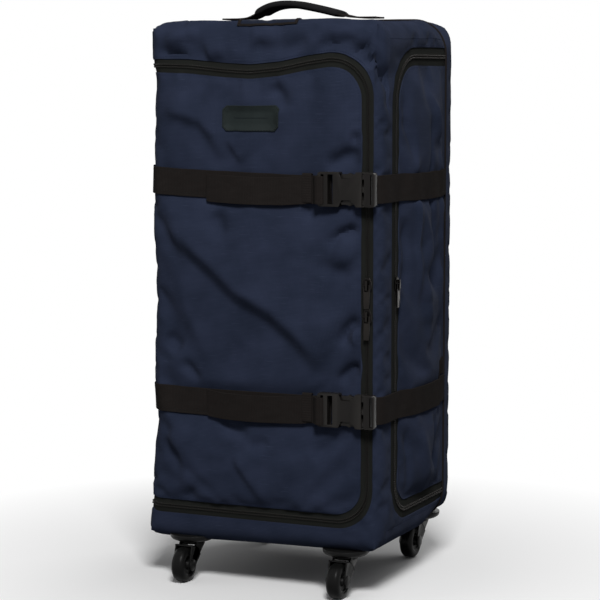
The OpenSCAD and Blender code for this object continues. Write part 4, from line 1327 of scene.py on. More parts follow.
def welt_tree(name):
    """A round cord along lines, for piping."""
    tree, given = start_tree(name, ("Radius",))
    curve = add(tree, "GeometryNodeMeshToCurve", {"Mesh": given["Geometry"]})
    ring = add(tree, "GeometryNodeCurvePrimitiveCircle", {"Resolution": 8, "Radius": given["Radius"]})
    tube = add(tree, "GeometryNodeCurveToMesh",
               {"Curve": curve.outputs[0], "Profile Curve": ring.outputs[0], "Fill Caps": True})
    return end_tree(tree, tube.outputs[0], given["Material"])


def grow(name, tree, lines, sizes):
    """The mesh that a tree makes along lines of points with outward normals, in mm."""
    points, outs, edges = [], [], []
    for place, out in lines:
        first = sum(len(p) for p in points)
        points.append(place)
        outs.append(out)
        edges += [(first + i, first + i + 1) for i in range(len(place) - 1)]
    mesh = bpy.data.meshes.new(name + "_line")
    mesh.from_pydata(to_frame(np.concatenate(points)).tolist(), edges, [])
    mesh.attributes.new("out", "FLOAT_VECTOR", "POINT").data.foreach_set(
        "vector", np.concatenate(outs).astype(np.float32).ravel())
    holder = bpy.data.objects.new(name + "_line", mesh)
    scene.collection.objects.link(holder)
    nodes = holder.modifiers.new("grow", "NODES")
    nodes.node_group = tree
    for item in tree.interface.items_tree:
        if item.in_out == "INPUT" and item.name in sizes:
            value = sizes[item.name]
            nodes[item.identifier] = value * MM if isinstance(value, (int, float)) else value
    made = finished_mesh(holder)
    made.name = name
    bpy.data.objects.remove(holder)
    bpy.data.meshes.remove(mesh)
    return made


beads = row_tree("beads_along_lines")
welt = welt_tree("cord_along_lines")
print("trees:", beads.name, welt.name)

# %% [markdown]
# The two halves share a route. Their teeth lie on both sides of it, and those of the inner half
# start half a pitch later, so that they mesh as real teeth do.

# %% Tapes and teeth
TOOTH_PITCH = 2.6
TOOTH_OUT = 1.7
TOOTH = {"Pitch": TOOTH_PITCH, "Length": 1.5, "Width": 3.2, "Height": 2.0, "Material": black_acetal}
# Half a pitch, as a share of one step of the route
TOOTH_SHIFT = 0.43
TAPE_LIP = 2.0


def tape_profile(wide):
    """Across a half tape from the teeth: distance from the middle, and height over the skin."""
    return np.array(((0.25, -0.5), (2.6, -0.5), (3.4, -0.9), (wide * 0.6, -1.0), (wide + TAPE_LIP, -1.6)))


def zip_half(name, route, ways, to_box, side, wide, body, node, half_step):
    """Tape and teeth of one half: side is 1 outside the opening and -1 inside it."""
    reach, lift = tape_profile(wide).T
    reach = reach * side
    flat = route[:, None] + ways[:, None] * reach[None, :, None]
    threads = thread_map(run_of(route)[:, None], reach[None, :])
    grid = patch(to_box(flat[..., 0], flat[..., 1]), threads, np.tile(lift, (len(route), 1)))
    sheet(name, [grid], (zip_tape,), body, [node], thick=1.0, edge=0.2)
    line = route + ways * side * TOOTH_OUT
    place, out = skin(to_box(line[:, 0], line[:, 1]))
    if half_step:
        place = place + (np.roll(place, -1, 0) - place) * half_step
        place[-1] = place[-2]
    teeth = grow(name + "_teeth", beads, [(place + out * 0.2, out)], TOOTH)
    finish_piece(bpy.data.objects.new(name + "_teeth", teeth), body)


def right_box(y, z):
    """Box points on the right side."""
    return side_box(1, y, z)


route, ways = main_zip_route()
zip_half("main_zip_border", route, ways, front_box, 1, TAPE_W, "bag", "main_zip_border_tape", 0)
zip_half("main_zip_flap", route, ways, front_box, -1, TAPE_W, "flap", "main_zip_flap_tape", TOOTH_SHIFT)
route, ways = pocket_zip_route()
zip_half("pocket_zip_border", route, ways, right_box, 1, POCKET_TAPE_W, "bag", "pocket_zip_border_tape", 0)
zip_half("pocket_zip_panel", route, ways, right_box, -1, POCKET_TAPE_W, "side_pocket",
         "pocket_zip_panel_tape", TOOTH_SHIFT)
print("zip halves: 4")

# %% [markdown]
# ## Straps
# Webbing bends but doesn't stretch, so it bridges the small folds of the cloth: each row across
# a strap is made straight and is pushed out until it clears the skin. The front straps lie on the
# flap as far as the buckle. The loose tail comes back out of the buckle, is caught by a keeper,
# and bows away from the flap.

# %% Front straps, tails and keepers
WEB_T = 2.2
WEB_LIFT = 0.3
WEB_ROWS = np.linspace(-0.5, 0.5, 9)
WEB_STEP = 3.0
SOCKET_X = 93.8
KEEPER_X = 75.8
TAIL_END = -78.0
SLOT_X = 102.2
SLOT_DEPTH = 7.0
STRAP_SLOPE = {UPPER_Z: 0.03, LOWER_Z: 0.0}
TAIL_BOW = 7.0
TAIL_DROOP = 3.5
KEEPER_R = 1.5


def straighten(place, out, smooth=6):
    """Rows across a strap made straight, clear of the cloth, and even along the strap."""
    share = np.linspace(-1, 1, place.shape[1])[None, :, None]
    mean = place.mean(1, keepdims=True)
    lean = (place * share).sum(1, keepdims=True) / (share ** 2).sum()
    face = unit(out.mean(1, keepdims=True))
    line = mean + lean * share
    line = line + face * ((place - line) * face).sum(-1, keepdims=True).max(1, keepdims=True)
    for _ in range(smooth):
        line[1:-1] = (line[:-2] + 2 * line[1:-1] + line[2:]) / 4
    return line, np.repeat(face, place.shape[1], 1)


def webbing(name, place, out, body, nodes):
    """A strap from its grid of points, with a thread map that follows its middle row."""
    along = run_of(place[:, place.shape[1] // 2])
    grid = (place, out, thread_map(along[:, None], STRAP_W * WEB_ROWS[None, :]))
    sheet(name, [grid], (nylon_webbing,), body, nodes, thick=WEB_T, outwards=True, edge=0.5)


def edge_rows(place, out):
    """Lines near both edges of a strap, on its outer face."""
    top = place + out * WEB_T
    return [(top[:, row], out[:, row]) for row in (1, -2)]


def cross_rows(place, out, at):
    """A line across a strap at one of its rows, on its outer face."""
    top = place[at] + out[at] * WEB_T
    return (top[1:-1], out[at][1:-1])


black_rows = {"bag": [], "flap": [], "side_pocket": []}
navy_rows = {"bag": [], "flap": [], "side_pocket": []}

for label, z in STRAPS.items():
    x = span(FOLD_X + 5, SOCKET_X + 15, WEB_STEP)
    centre = z + STRAP_SLOPE[z] * np.maximum(KEEPER_X - x, 0)
    place, out = straighten(*skin(front_box(x[:, None], centre[:, None] + STRAP_W * WEB_ROWS)))
    place = place + out * WEB_LIFT
    webbing(f"{label}_front_webbing", place, out, "flap", [f"{label}_front_strap"])
    sewn = x < TAIL_END
    black_rows["flap"] += [(line[sewn], way[sewn]) for line, way in edge_rows(place, out)]
    for at in (np.flatnonzero(sewn)[-1], np.flatnonzero(sewn)[-6]):
        black_rows["flap"].append(cross_rows(place, out, at))

    x_tail = np.concatenate([span(TAIL_END, SOCKET_X - 16, WEB_STEP), span(SOCKET_X - 15, SLOT_X, 1.0)])
    share = (x_tail - TAIL_END) / (KEEPER_X - TAIL_END)
    arch = np.sin(math.pi * np.clip(share, 0, 1))
    bow = TAIL_BOW * arch ** 0.7 * (0.75 + 0.25 * np.sin(5.2 * share + 1.0))
    droop = TAIL_DROOP * arch ** 0.6
    under, way = straighten(*skin(front_box(x_tail[:, None], z + STRAP_W * WEB_ROWS)), smooth=20)
    tail = under + way * (WEB_LIFT + WEB_T + 0.2 + bow[:, None] * (1 + 0.5 * WEB_ROWS))[..., None]
    tail[..., 2] -= droop[:, None]
    face_y = (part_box(f"{label}_buckle_socket")[0][1] / MM - SHIFT[1]) - 0.4
    on_bar = fade(x_tail, KEEPER_X + 7, SOCKET_X)[:, None]
    into_slot = fade(x_tail, SLOT_X - 3.2, SLOT_X)[:, None]
    tail[..., 1] += (face_y + SLOT_DEPTH * into_slot - tail[..., 1]) * on_bar
    way = unit(np.cross(np.gradient(tail, axis=0), (0, 0, 1.0)) * (1, 1, 0))
    webbing(f"{label}_strap_tail", tail, way, "flap", [])

    ring_z = STRAP_W / 2 + 0.6
    near = np.argmin(np.abs(x_tail - KEEPER_X))
    back_y = place[np.argmin(np.abs(x - KEEPER_X))][:, 1].max() + 0.2
    front_y = tail[near][:, 1].min() - WEB_T - 0.3
    around, leave = join_runs(
        straight((back_y, -ring_z + 1), (front_y + 1, -ring_z + 1), (0, -1), 2.0),
        turn((front_y + KEEPER_R, -ring_z + KEEPER_R), KEEPER_R, 270, 180),
        straight((front_y, -ring_z + KEEPER_R), (front_y, ring_z - KEEPER_R), (-1, 0), 3.0),
        turn((front_y + KEEPER_R, ring_z - KEEPER_R), KEEPER_R, 180, 90),
        straight((front_y + 1, ring_z - 1), (back_y, ring_z - 1), (0, 1), 2.0),
    )
    across = np.linspace(KEEPER_X - 8, KEEPER_X + 6, 5)
    band = np.empty((len(around), len(across), 3))
    band[..., 0] = across
    band[..., 1] = around[:, :1]
    band[..., 2] = around[:, 1:] + z
    normals = np.zeros_like(band)
    normals[..., 1:] = leave[:, None]
    sheet(f"{label}_keeper", [(band, normals, thread_map(np.arange(len(around))[:, None] * 2.0, across))],
          (nylon_webbing,), "flap", ["strap_keepers"] if label == "upper" else [],
          thick=1.3, outwards=True, edge=0.4)
print("front straps, tails and keepers: 2 of each")

# %% [markdown]
# The side straps start behind the buckle's clip, turn the front edge and run over the pocket to
# the back seam. On the left, two short straps carry on from the fold to the same seam.

# %% Side straps
CLIP_X = 162.6
# The strap comes down from the clip to the pocket over this distance
CLIP_LIFT = 2.6
CLIP_REACH = 45.0
POCKET_LIFT = 0.4
# The back seam's place on the front, laid out flat round the right edge, and the part sewn there
SEAM_X = HALF_W + HALF_D + SEAM_Y
SEWN_LENGTH = 34.0

for label, z in STRAPS.items():
    x = span(CLIP_X + 2, SEAM_X - FOLD_GAP - 1, WEB_STEP)
    place, out = straighten(*skin(front_box(x[:, None], z + STRAP_W * WEB_ROWS)))
    gap = WEB_LIFT + POCKET_LIFT + CLIP_LIFT * fade(x, CLIP_X + CLIP_REACH, CLIP_X)
    place = place + out * gap[:, None, None]
    webbing(f"{label}_side_webbing", place, out, "side_pocket", [f"{label}_side_strap"])
    back_part = x > SEAM_X - SEWN_LENGTH
    black_rows["side_pocket"] += [(line[back_part], way[back_part]) for line, way in edge_rows(place, out)]
    black_rows["side_pocket"].append(cross_rows(place, out, np.flatnonzero(back_part)[0]))

    y = span(FOLD_Y + 5, SEAM_Y, WEB_STEP)
    rows = z + STRAP_SLOPE[z] * (KEEPER_X + HALF_W) + STRAP_W * WEB_ROWS
    place, out = straighten(*skin(side_box(-1, y[:, None], rows)))
    place = place + out * WEB_LIFT
    webbing(f"{label}_left_webbing", place, out, "bag", ["left_side_straps"] if label == "upper" else [])
    black_rows["bag"] += edge_rows(place, out)
print("side straps: 4")

# %% [markdown]
# ## Carry handle
# The handle is webbing with a padded sleeve round its arch. The photograph shows it pushed a
# little to the left, as a soft handle falls.

# %% Carry handle
HANDLE_Y = -22.0
HANDLE_END = 119.0
HANDLE_STEP = 2.5
HANDLE_FOOT = 84.0
# Middle of the webbing: across the bag, and height over the top
HANDLE_PATH = np.array([
    (-119, 0.4), (-104, 0.4), (-90, 0.6), (-78, 2.0), (-68, 6.0), (-58, 12.0), (-46, 17.2), (-32, 20.0),
    (-18, 20.6), (-4, 19.6), (14, 16.4), (32, 12.6), (50, 8.4), (66, 4.4), (80, 1.6), (92, 0.6),
    (106, 0.4), (119, 0.4),
])
GRIP_ENDS = (-66.0, 64.0)
PAD_W = 23.5
PAD_T = 5.6
PAD_POINTS = 33
# The sleeve tapers over a share of its length at each end, down to a share of its size
PAD_TAPER = 0.06
PAD_END = 0.62
# It is a little thicker at the left, and its section is a rounded rectangle
PAD_SWELL = (1.08, 0.86)
PAD_SQUARE = (0.6, 0.75)


def through(points, at):
    """A smooth curve of heights through points, read at places between them."""
    slopes = np.gradient(points[:, 1], points[:, 0])
    i = np.clip(np.searchsorted(points[:, 0], at) - 1, 0, len(points) - 2)
    wide = points[i + 1, 0] - points[i, 0]
    t = (at - points[i, 0]) / wide
    return ((2 * t ** 3 - 3 * t ** 2 + 1) * points[i, 1] + (t ** 3 - 2 * t ** 2 + t) * wide * slopes[i]
            + (3 * t ** 2 - 2 * t ** 3) * points[i + 1, 1] + (t ** 3 - t ** 2) * wide * slopes[i + 1])


x = span(-HANDLE_END, HANDLE_END, HANDLE_STEP)
foot, _ = skin(level_box(x[:, None], HANDLE_Y + STRAP_W * WEB_ROWS, 1))
level = foot[..., 2].max(1)
height = np.maximum(through(HANDLE_PATH, x) + TOP_Z, level + WEB_LIFT)
climb = np.gradient(height, x)
across = unit(np.stack([-climb, np.zeros_like(x), np.ones_like(x)], -1))
place = np.empty((len(x), len(WEB_ROWS), 3))
place[..., 0] = x[:, None]
place[..., 1] = HANDLE_Y + STRAP_W * WEB_ROWS
place[..., 2] = height[:, None]
out = np.repeat(across[:, None], len(WEB_ROWS), 1)
webbing("carry_handle_strap", place, out, "bag", ["carry_handle_webbing"])
feet = np.abs(x) > HANDLE_FOOT
for side in (-1, 1):
    part = feet & (side * x > 0)
    black_rows["bag"] += [(line[part], way[part]) for line, way in edge_rows(place, out)]
    for at in (np.flatnonzero(part)[0], np.flatnonzero(part)[-2]):
        black_rows["bag"].append(cross_rows(place, out, at))

inside = (x > GRIP_ENDS[0]) & (x < GRIP_ENDS[1])
middle = np.stack([x, np.full_like(x, HANDLE_Y), height + WEB_T / 2], -1)[inside]
rise_way = across[inside]
share = np.linspace(0, 1, len(middle))
ends = np.minimum(np.minimum(share, 1 - share) / PAD_TAPER, 1.0)
swell = (PAD_END + (1 - PAD_END) * np.sqrt(1 - (1 - ends) ** 2)) * np.interp(share, (0, 1), PAD_SWELL)
angle = np.linspace(0, 2 * math.pi, PAD_POINTS)
sides = np.sign(np.cos(angle)) * np.abs(np.cos(angle)) ** PAD_SQUARE[0]
ups = np.sign(np.sin(angle)) * np.abs(np.sin(angle)) ** PAD_SQUARE[1]
tube = middle[:, None] + rise_way[:, None] * (swell[:, None] * PAD_T * ups)[..., None]
tube[..., 1] += (0.9 + 0.1 * swell[:, None]) * PAD_W * sides
caps = [tube.mean(1, keepdims=True).repeat(PAD_POINTS, 1)[i] for i in (0, -1)]
tube = np.concatenate([caps[:1], tube, caps[1:]])
normal = tube - tube.mean(1, keepdims=True)
girth = run_of(tube[len(tube) // 2])
flat = thread_map(np.arange(len(tube))[:, None] * HANDLE_STEP, girth[None, :])
pad_mesh = grid_mesh("carry_handle_pad", [(tube, normal, flat)], (neoprene,))
pad = bpy.data.objects.new("carry_handle_pad", pad_mesh)
finish_piece(pad, "bag", ["carry_handle_grip"])
for row in (2, 14):
    black_rows["bag"].append((tube[4:-4, row], unit(normal[4:-4, row])))
print("carry handle:", round(float(height.max()), 1), "mm high")

# %% [markdown]
# ## Name-card window, badge and label
# The window is clear film with a bound edge, and folds over the front edge of the top.

# %% Name-card window
WINDOW_X0 = -35.5
WINDOW_X1 = 55.5
WINDOW_Z0 = 793.0
WINDOW_HEM = 4.5
WINDOW_Z1 = TOP_Z + HALF_D - 95.0
a, b = crossed(span(WINDOW_X0, WINDOW_X1), span(WINDOW_Z0 + 2, WINDOW_Z1))
grid = patch(front_box(a, b), thread_map(a, b), np.full(a.shape, 0.4))
sheet("name_card_window", [grid], (clear_pvc,), "bag", ["id_window"],
      thick=0.6, outwards=True, edge=0.2)
hems = []
for x0, x1, z0, z1 in (
    (WINDOW_X0, WINDOW_X1, WINDOW_Z0, WINDOW_Z0 + WINDOW_HEM),
    (WINDOW_X0, WINDOW_X1, WINDOW_Z1 - WINDOW_HEM, WINDOW_Z1),
    (WINDOW_X0, WINDOW_X0 + WINDOW_HEM, WINDOW_Z0 + WINDOW_HEM, WINDOW_Z1 - WINDOW_HEM),
    (WINDOW_X1 - WINDOW_HEM, WINDOW_X1, WINDOW_Z0 + WINDOW_HEM, WINDOW_Z1 - WINDOW_HEM),
):
    a, b = crossed(span(x0, x1), span(z0, z1))
    hems.append(patch(front_box(a, b), thread_map(a, b), np.full(a.shape, 1.0)))
sheet("name_card_binding", hems, (nylon_webbing,), "bag", [], thick=0.8, outwards=True, edge=0.3)
print("name-card window folded over the front edge")

# %% [markdown]
# The badge is soft rubber with a raised rim: rings that step inwards from a cut-cornered outline.
# It and the label in the pocket's seam are left bare.

# %% Badge and label
BADGE_X = -13.0
BADGE_Z = 663.0
BADGE_HALF = (43.0, 18.5)
BADGE_CUT = 6.0
# Steps of its face from the edge inwards: distance from the edge, and height over the flap
BADGE_STEPS = ((0, 0.4), (0.5, 1.7), (2.2, 1.7), (2.8, 1.2), (6.4, 1.2), (6.9, 0.8), (12, 0.8), (18.2, 0.8))
LABEL_Y = (SEAM_Y - 44, SEAM_Y - 5)
LABEL_Z = (LOWER_Z + 21, LOWER_Z + 46)
LABEL_STEP = 3.0


def cut_outline(half_x, half_z, cut, count=20):
    """A closed outline with its corners cut, with the same number of points on each edge."""
    cut = min(cut, half_x, half_z)
    right = [(half_x, half_z - cut), (half_x - cut, half_z)]
    upper = right + [(-x, z) for x, z in reversed(right)]
    corners = upper + [(-x, -z) for x, z in upper]
    points = []
    for first, last in zip(corners, corners[1:] + corners[:1]):
        points.append(np.linspace(first, last, count, endpoint=False))
    points = np.concatenate(points)
    return np.concatenate([points, points[:1]])


rings = np.stack([
    cut_outline(BADGE_HALF[0] - d, BADGE_HALF[1] - d, max(0.1, BADGE_CUT - 0.35 * d)) for d, _ in BADGE_STEPS
])
lift = np.tile(np.array([h for _, h in BADGE_STEPS])[:, None], (1, rings.shape[1]))
flat_x = BADGE_X + rings[..., 0]
flat_z = BADGE_Z + rings[..., 1]
grid = patch(front_box(flat_x, flat_z), thread_map(flat_x, flat_z), lift)
sheet("badge_plate", [grid], (dotted_rubber,), "flap", ["badge_patch"], thick=1.6, edge=0.3)

a, b = crossed(span(*LABEL_Y, LABEL_STEP), span(*LABEL_Z, LABEL_STEP))
grid = patch(side_box(1, a, b), thread_map(a, b), np.full(a.shape, 0.3))
sheet("seam_tab", [grid], (nylon_webbing,), "side_pocket", ["seam_label"],
      thick=0.9, outwards=True, edge=0.3)
print("badge and label are bare")

# %% [markdown]
# ## Pocket liner
# Behind the pocket's zip lies a shallow fabric tray. It shows only when the pocket is folded
# open: a floor, and a wall that follows the zip at a small distance outside it.

# %% Pocket liner
LINER_OUT = 15.0
LINER_BACK = 5.0
LINER_X0 = 148.6
LINER_X1 = 173.0
LINER_RIPPLE = 1.2

route, ways = pocket_zip_route()
outline = route + ways * LINER_OUT
back_y = SEAM_Y + LINER_BACK
outline = np.concatenate([outline, [[back_y, outline[-1, 1]], [back_y, outline[0, 1]], outline[0]]])
leave = np.concatenate([ways, [[1, 0], [1, 0], ways[0]]])
depths = np.linspace(LINER_X1, LINER_X0, 7)
wall = np.empty((len(outline), len(depths), 3))
wall[..., 0] = depths
wall[..., 1:] = outline[:, None]
wall_out = np.zeros_like(wall)
wall_out[..., 1:] = -leave[:, None]
low = POCKET_Z0 - LINER_OUT
high = POCKET_Z1 + LINER_OUT
radii = (POCKET_LOW_R + LINER_OUT, POCKET_TOP_R + LINER_OUT)
heights = corner_heights(low, high, *radii)
begins = POCKET_Y - LINER_OUT + corner_inset(heights, low, high, *radii)
shares = np.linspace(0, 1, 40)
base = np.empty((len(shares), len(heights), 3))
base[..., 1] = begins + shares[:, None] * (back_y - begins)
base[..., 2] = heights
ripple = np.sin(base[..., 1] / 17 + 0.8 * np.sin(base[..., 2] / 60)) * np.sin(base[..., 2] / 38)
base[..., 0] = LINER_X0 + LINER_RIPPLE * ripple * np.sin(math.pi * shares)[:, None]
base_out = np.zeros_like(base)
base_out[..., 0] = 1
sheet("pocket_tray", [
    (wall, wall_out, thread_map(np.arange(len(outline))[:, None] * 3.0, depths)),
    (base, base_out, base[..., 1:]),
], (black_lining,), "bag", ["pocket_liner"], thick=1.2, edge=0)
print("pocket liner:", len(outline), "points round")

# %% [markdown]
# ## Piping and stitches
# A thin round welt covers the seam between the sides and the back. Rows of stitches hold the
# panels to the zip tapes and the straps to the panels. Both are grown along lines on the skin.

# %% Piping and stitches
WELT_R = 1.7
STITCH = {"Pitch": 4.0, "Length": 2.8, "Width": 0.7, "Height": 0.5}
# How far the rows keep from the edges that they follow, and where they stop before a fold or seam
EDGE_ROW = 3.0
SEAM_ROW = 6.0
BADGE_ROW = 1.4
FOLD_CLEAR = 10.0
SEAM_CLEAR = 5.0


def seam_loop(y):
    """Box points once round the bag, starting under its middle."""
    return np.concatenate([
        level_box(span(0, -HALF_W, 5.0), y, -1)[:-1],
        side_box(-1, y, span(BASE_Z, TOP_Z, 5.0))[:-1],
        level_box(span(-HALF_W, HALF_W, 5.0), y, 1)[:-1],
        side_box(1, y, span(TOP_Z, BASE_Z, 5.0))[:-1],
        level_box(span(HALF_W, 0, 5.0), y, -1),
    ])


place, out = skin(seam_loop(SEAM_Y))
cord = grow("back_seam_welt", welt, [(place + out * 0.5, out)], {"Radius": WELT_R, "Material": nylon_webbing})
finish_piece(bpy.data.objects.new("back_seam_welt", cord), "bag")


def row_on(points, lift=0.1):
    """A stitch line on the skin."""
    place, out = skin(points)
    return place + out * lift, out


route, ways = main_zip_route()
for side, body in ((1, "bag"), (-1, "flap")):
    line = route + ways * side * (TAPE_W + EDGE_ROW)
    line = line[line[:, 0] > FOLD_X + FOLD_CLEAR]
    navy_rows[body].append(row_on(front_box(line[:, 0], line[:, 1])))
route, ways = pocket_zip_route()
for side, body in ((1, "bag"), (-1, "side_pocket")):
    clear = route[:, 0] < SEAM_Y - SEAM_CLEAR
    line = (route + ways * side * (POCKET_TAPE_W + EDGE_ROW))[clear]
    navy_rows[body].append(row_on(side_box(1, line[:, 0], line[:, 1])))
navy_rows["bag"].append(row_on(seam_loop(SEAM_Y + SEAM_ROW)))
outline = cut_outline(BADGE_HALF[0] - BADGE_ROW, BADGE_HALF[1] - BADGE_ROW, BADGE_CUT)
black_rows["flap"].append(row_on(front_box(BADGE_X + outline[:, 0], BADGE_Z + outline[:, 1]), 1.8))
hem_z = WINDOW_Z0 + WINDOW_HEM / 2
black_rows["bag"].append(row_on(front_box(span(WINDOW_X0 + 2, WINDOW_X1 - 2), hem_z), 1.9))

for rows, thread, slot in ((navy_rows, thread_navy, "navy_fabric"), (black_rows, thread_black, "webbing")):
    for body, lines in rows.items():
        name = f"{body}_{thread.name}_stitches"
        made = grow(name, beads, lines, {**STITCH, "Material": thread})
        finish_piece(bpy.data.objects.new(name, made), body)
        print(name, len(made.polygons), "faces")

# %% [markdown]
# ## Hardware
# The solids of the buckles, sliders, casters and trolley handle have the right shape. Moulded
# pieces never have sharp edges, though, and a sharp edge catches no light. Each gets a copy
# whose flat faces are merged and whose edges are rounded, with the finish of its material.

# %% Rounded copies of the solids
CASTERS = [f"{end}_{side}" for end in ("front", "back") for side in ("left", "right")]
HARDWARE = {
    black_acetal: ["upper_buckle_socket", "lower_buckle_socket", "upper_buckle_clip", "lower_buckle_clip",
                   "buckle_prongs"],
    gunmetal: ["upper_slider", "lower_slider", "pocket_slider", "upper_pull", "lower_pull", "pocket_pull"],
    black_abs: ["caster_housings", "trolley_bezel", "trolley_grip", "trolley_button"]
               + [f"{caster}_{piece}" for caster in CASTERS for piece in ("fork", "hub")],
    urethane: [f"{caster}_tyre" for caster in CASTERS],
    steel: ["housing_screws"] + [f"{caster}_axle" for caster in CASTERS],
    aluminium: ["trolley_outer_tubes", "trolley_inner_tubes"],
    board_plastic: ["back_board", "bottom_board"],
}
EDGE_MM = {gunmetal: 0.35, black_acetal: 0.7, black_abs: 0.9, urethane: 0.6, steel: 0.2}
FLAT_ANGLE = math.radians(0.6)
EDGE_ANGLE = math.radians(32)
# Along a buckle's socket from its left end: the outer and the inner corners of a finger notch
NOTCH_X = (30.0, 55.0, 48.5, 35.5)
NOTCH_DEPTH = 9.0
SLOT_START = 18.0
SLOT_END = 22.5
SLOT_HALF = 20.0
GROOVE = 3.0


def prism(outline, y0, y1):
    """A closed prism over an outline in x and z, as a mesh in metres."""
    count = len(outline)
    work = bmesh.new()
    rings = [[work.verts.new((x, y, z)) for x, z in outline] for y in (y0, y1)]
    for ring in rings:
        work.faces.new(ring)
    for i in range(count):
        j = (i + 1) % count
        work.faces.new((rings[0][i], rings[0][j], rings[1][j], rings[1][i]))
    bmesh.ops.recalc_face_normals(work, faces=work.faces)
    mesh = bpy.data.meshes.new("prism")
    work.to_mesh(mesh)
    work.free()
    return mesh


def rectangle(x0, x1, z0, z1):
    """The corners of a rectangle in x and z."""
    return [(x0, z0), (x1, z0), (x1, z1), (x0, z1)]


def without(mesh, cutters):
    """The mesh with other closed meshes cut away."""
    holder = bpy.data.objects.new("carved", mesh)
    scene.collection.objects.link(holder)
    tools = []
    for cutter in cutters:
        tool = bpy.data.objects.new("cutter", cutter)
        scene.collection.objects.link(tool)
        tools.append(tool)
        cut = holder.modifiers.new("cut", "BOOLEAN")
        cut.object = tool
        cut.solver = "EXACT"
    made = finished_mesh(holder)
    for item in [holder] + tools:
        bpy.data.objects.remove(item)
    return made


def buckle_cuts(node):
    """Deep finger notches, a wide second slot and a groove before the clip, for a buckle's socket."""
    (x0, y0, z0), (x1, y1, z1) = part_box(node)
    past = 2 * MM
    cuts = []
    for edge, way in ((z1, 1), (z0, -1)):
        notch = [(x0 + along * MM, edge + way * past - way * deep * (NOTCH_DEPTH * MM + past))
                 for along, deep in zip(NOTCH_X, (0, 0, 1, 1))]
        cuts.append(prism(notch, y0 - past, y1 + past))
    middle = (z0 + z1) / 2
    slot = rectangle(x0 + SLOT_START * MM, x0 + SLOT_END * MM,
                     middle - SLOT_HALF * MM, middle + SLOT_HALF * MM)
    cuts.append(prism(slot, y0 - past, y1 + past))
    groove = rectangle(x1 - GROOVE * MM, x1 + past, z0 - past, z1 + past)
    cuts.append(prism(groove, y0 - past, y0 + GROOVE * MM))
    return cuts


def rounded_copy(node, finish, width):
    """A copy of a CAD solid with merged flat faces and rounded edges, in its place."""
    mesh = bpy.data.objects[node].data.copy()
    mesh.materials.clear()
    work = bmesh.new()
    work.from_mesh(mesh)
    bmesh.ops.remove_doubles(work, verts=work.verts, dist=1e-5)
    work.to_mesh(mesh)
    work.free()
    if node.endswith("_socket"):
        mesh = without(mesh, buckle_cuts(node))
    mesh.name = node + "_rounded"
    work = bmesh.new()
    work.from_mesh(mesh)
    bmesh.ops.remove_doubles(work, verts=work.verts, dist=1e-5)
    bmesh.ops.dissolve_limit(work, angle_limit=FLAT_ANGLE, verts=work.verts, edges=work.edges)
    bmesh.ops.recalc_face_normals(work, faces=work.faces)
    work.to_mesh(mesh)
    work.free()
    mesh.shade_smooth()
    mesh.materials.clear()
    mesh.materials.append(finish)
    piece = bpy.data.objects.new(node + "_rounded", mesh)
    round_edges(piece, width, EDGE_ANGLE)
    finish_piece(piece, NODE_BODY[node], [node])


for finish, nodes in HARDWARE.items():
    for node in nodes:
        if finish in EDGE_MM:
            rounded_copy(node, finish, EDGE_MM[finish])
        else:
            solid = bpy.data.objects[node]
            solid.data.materials.clear()
            solid.data.materials.append(finish)
    print(finish.name, len(nodes), "pieces")

# %% [markdown]
# The moulded fork of a caster is a shell. A hood follows the round of the wheel, a cheek on each
# side joins it to the axle, and a round cap covers each end of the axle. The four casters are
# alike, so one loop builds them round the boxes of their tyres.

# %% Hoods and axle caps of the casters
HOOD_GAP = 1.0
HOOD_T = 1.8
HOOD_FROM = 22.0
HOOD_TO = 90.0
HOOD_EDGE = 0.5
CAP_R = 8.5
CHEEK_FROM = -50.0
CHEEK_TO = 150.0
CHEEK_T = 2.0
CAP_T = 2.0
ARM_OUT = 13.8
CAP_SUNK = 0.2
# A cap from its inner face: radius, and height along the axle
CAP_PROFILE = (
    (0.01, 0.0), (CAP_R, 0.0), (CAP_R, CAP_T * 0.55),
    (CAP_R - 1.2, CAP_T), (3.0, CAP_T + 0.5), (0.01, CAP_T + 0.6),
)


def swept_hood(y, z, wheel_r, x):
    """Grid over a hood round an axle at y, z, closed round its section, with its middle at x."""
    angle = np.radians(np.linspace(HOOD_FROM, HOOD_TO, 25))
    inner, outer = wheel_r + HOOD_GAP, wheel_r + HOOD_GAP + HOOD_T
    radii = np.array([inner, outer, outer, inner, inner])
    across = np.array([-1, -1, 1, 1, -1]) * ARM_OUT
    grid = np.empty((len(angle), 5, 3))
    grid[..., 0] = x + across
    grid[..., 1] = y + radii * np.cos(angle)[:, None]
    grid[..., 2] = z + radii * np.sin(angle)[:, None]
    return grid


def lathe(profile, y, z, x, way, steps=28):
    """A round cap about an axle, from its radii and its heights along the axle."""
    angle = np.linspace(0, 2 * math.pi, steps + 1)
    grid = np.empty((len(profile), len(angle), 3))
    for row, (radius, out) in enumerate(profile):
        grid[row, :, 0] = x + way * out
        grid[row, :, 1] = y + radius * np.cos(angle)
        grid[row, :, 2] = z + radius * np.sin(angle)
    return grid


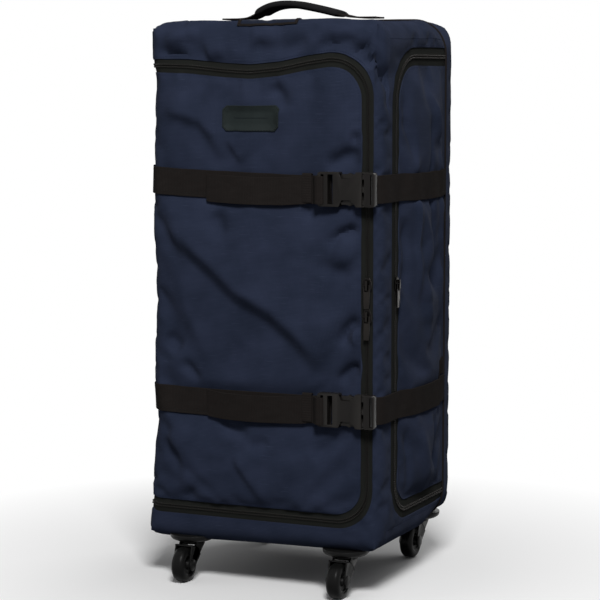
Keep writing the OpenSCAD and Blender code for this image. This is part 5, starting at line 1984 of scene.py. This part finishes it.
def cheek(y, z, wheel_r, x, way):
    """A plate from the cap of the axle out to the hood, closed round its section."""
    share = np.linspace(0, 1, 25)[:, None]
    angles = np.radians([(CHEEK_FROM, CHEEK_TO), (HOOD_FROM, HOOD_TO)])
    radii = (CAP_R, wheel_r + HOOD_GAP + HOOD_T)
    grid = np.empty((len(share), 5, 3))
    for column, (rim, out) in enumerate(((0, 0), (1, 0), (1, 1), (0, 1), (0, 0))):
        angle = (angles[rim][0] + (angles[rim][1] - angles[rim][0]) * share)[:, 0]
        grid[:, column, 0] = x + way * (ARM_OUT - CHEEK_T + out * CHEEK_T)
        grid[:, column, 1] = y + radii[rim] * np.cos(angle)
        grid[:, column, 2] = z + radii[rim] * np.sin(angle)
    return grid


for caster in CASTERS:
    low, high = (np.array(corner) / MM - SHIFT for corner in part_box(f"{caster}_tyre"))
    x, y, z = (low + high) / 2
    wheel_r = (high[2] - low[2]) / 2
    parts = []
    bands = [swept_hood(y, z, wheel_r, x)] + [cheek(y, z, wheel_r, x, way) for way in (-1, 1)]
    for band in bands:
        parts.append((band, band - band[:, :4].mean(1, keepdims=True), band[..., 1:]))
        for row, beside in ((0, 1), (-1, -2)):
            end_face = np.stack([band[row, [0, 1]], band[row, [3, 2]]])
            away = np.broadcast_to(band[row].mean(0) - band[beside].mean(0), end_face.shape)
            parts.append((end_face, away, end_face[..., 1:]))
    for way in (-1, 1):
        cap = lathe(CAP_PROFILE, y, z, x + way * (ARM_OUT - CAP_SUNK), way)
        middle = np.array([x + way * (ARM_OUT + CAP_T / 2), y, z])
        parts.append((cap, cap - middle, cap[..., 1:]))
    mesh = grid_mesh(f"{caster}_hood", parts, (black_abs,))
    piece = bpy.data.objects.new(mesh.name, mesh)
    round_edges(piece, HOOD_EDGE, EDGE_ANGLE)
    finish_piece(piece, NODE_BODY[f"{caster}_fork"])
print("hoods and caps:", len(CASTERS), "casters")

# %% [markdown]
# ## Size
# Cloth may stand a little proud of the solids, so the box round everything that renders is printed.

# %% The box round what renders
low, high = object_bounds()
print("visual box, mm:", [round((b - a) / MM) for a, b in zip(low, high)])
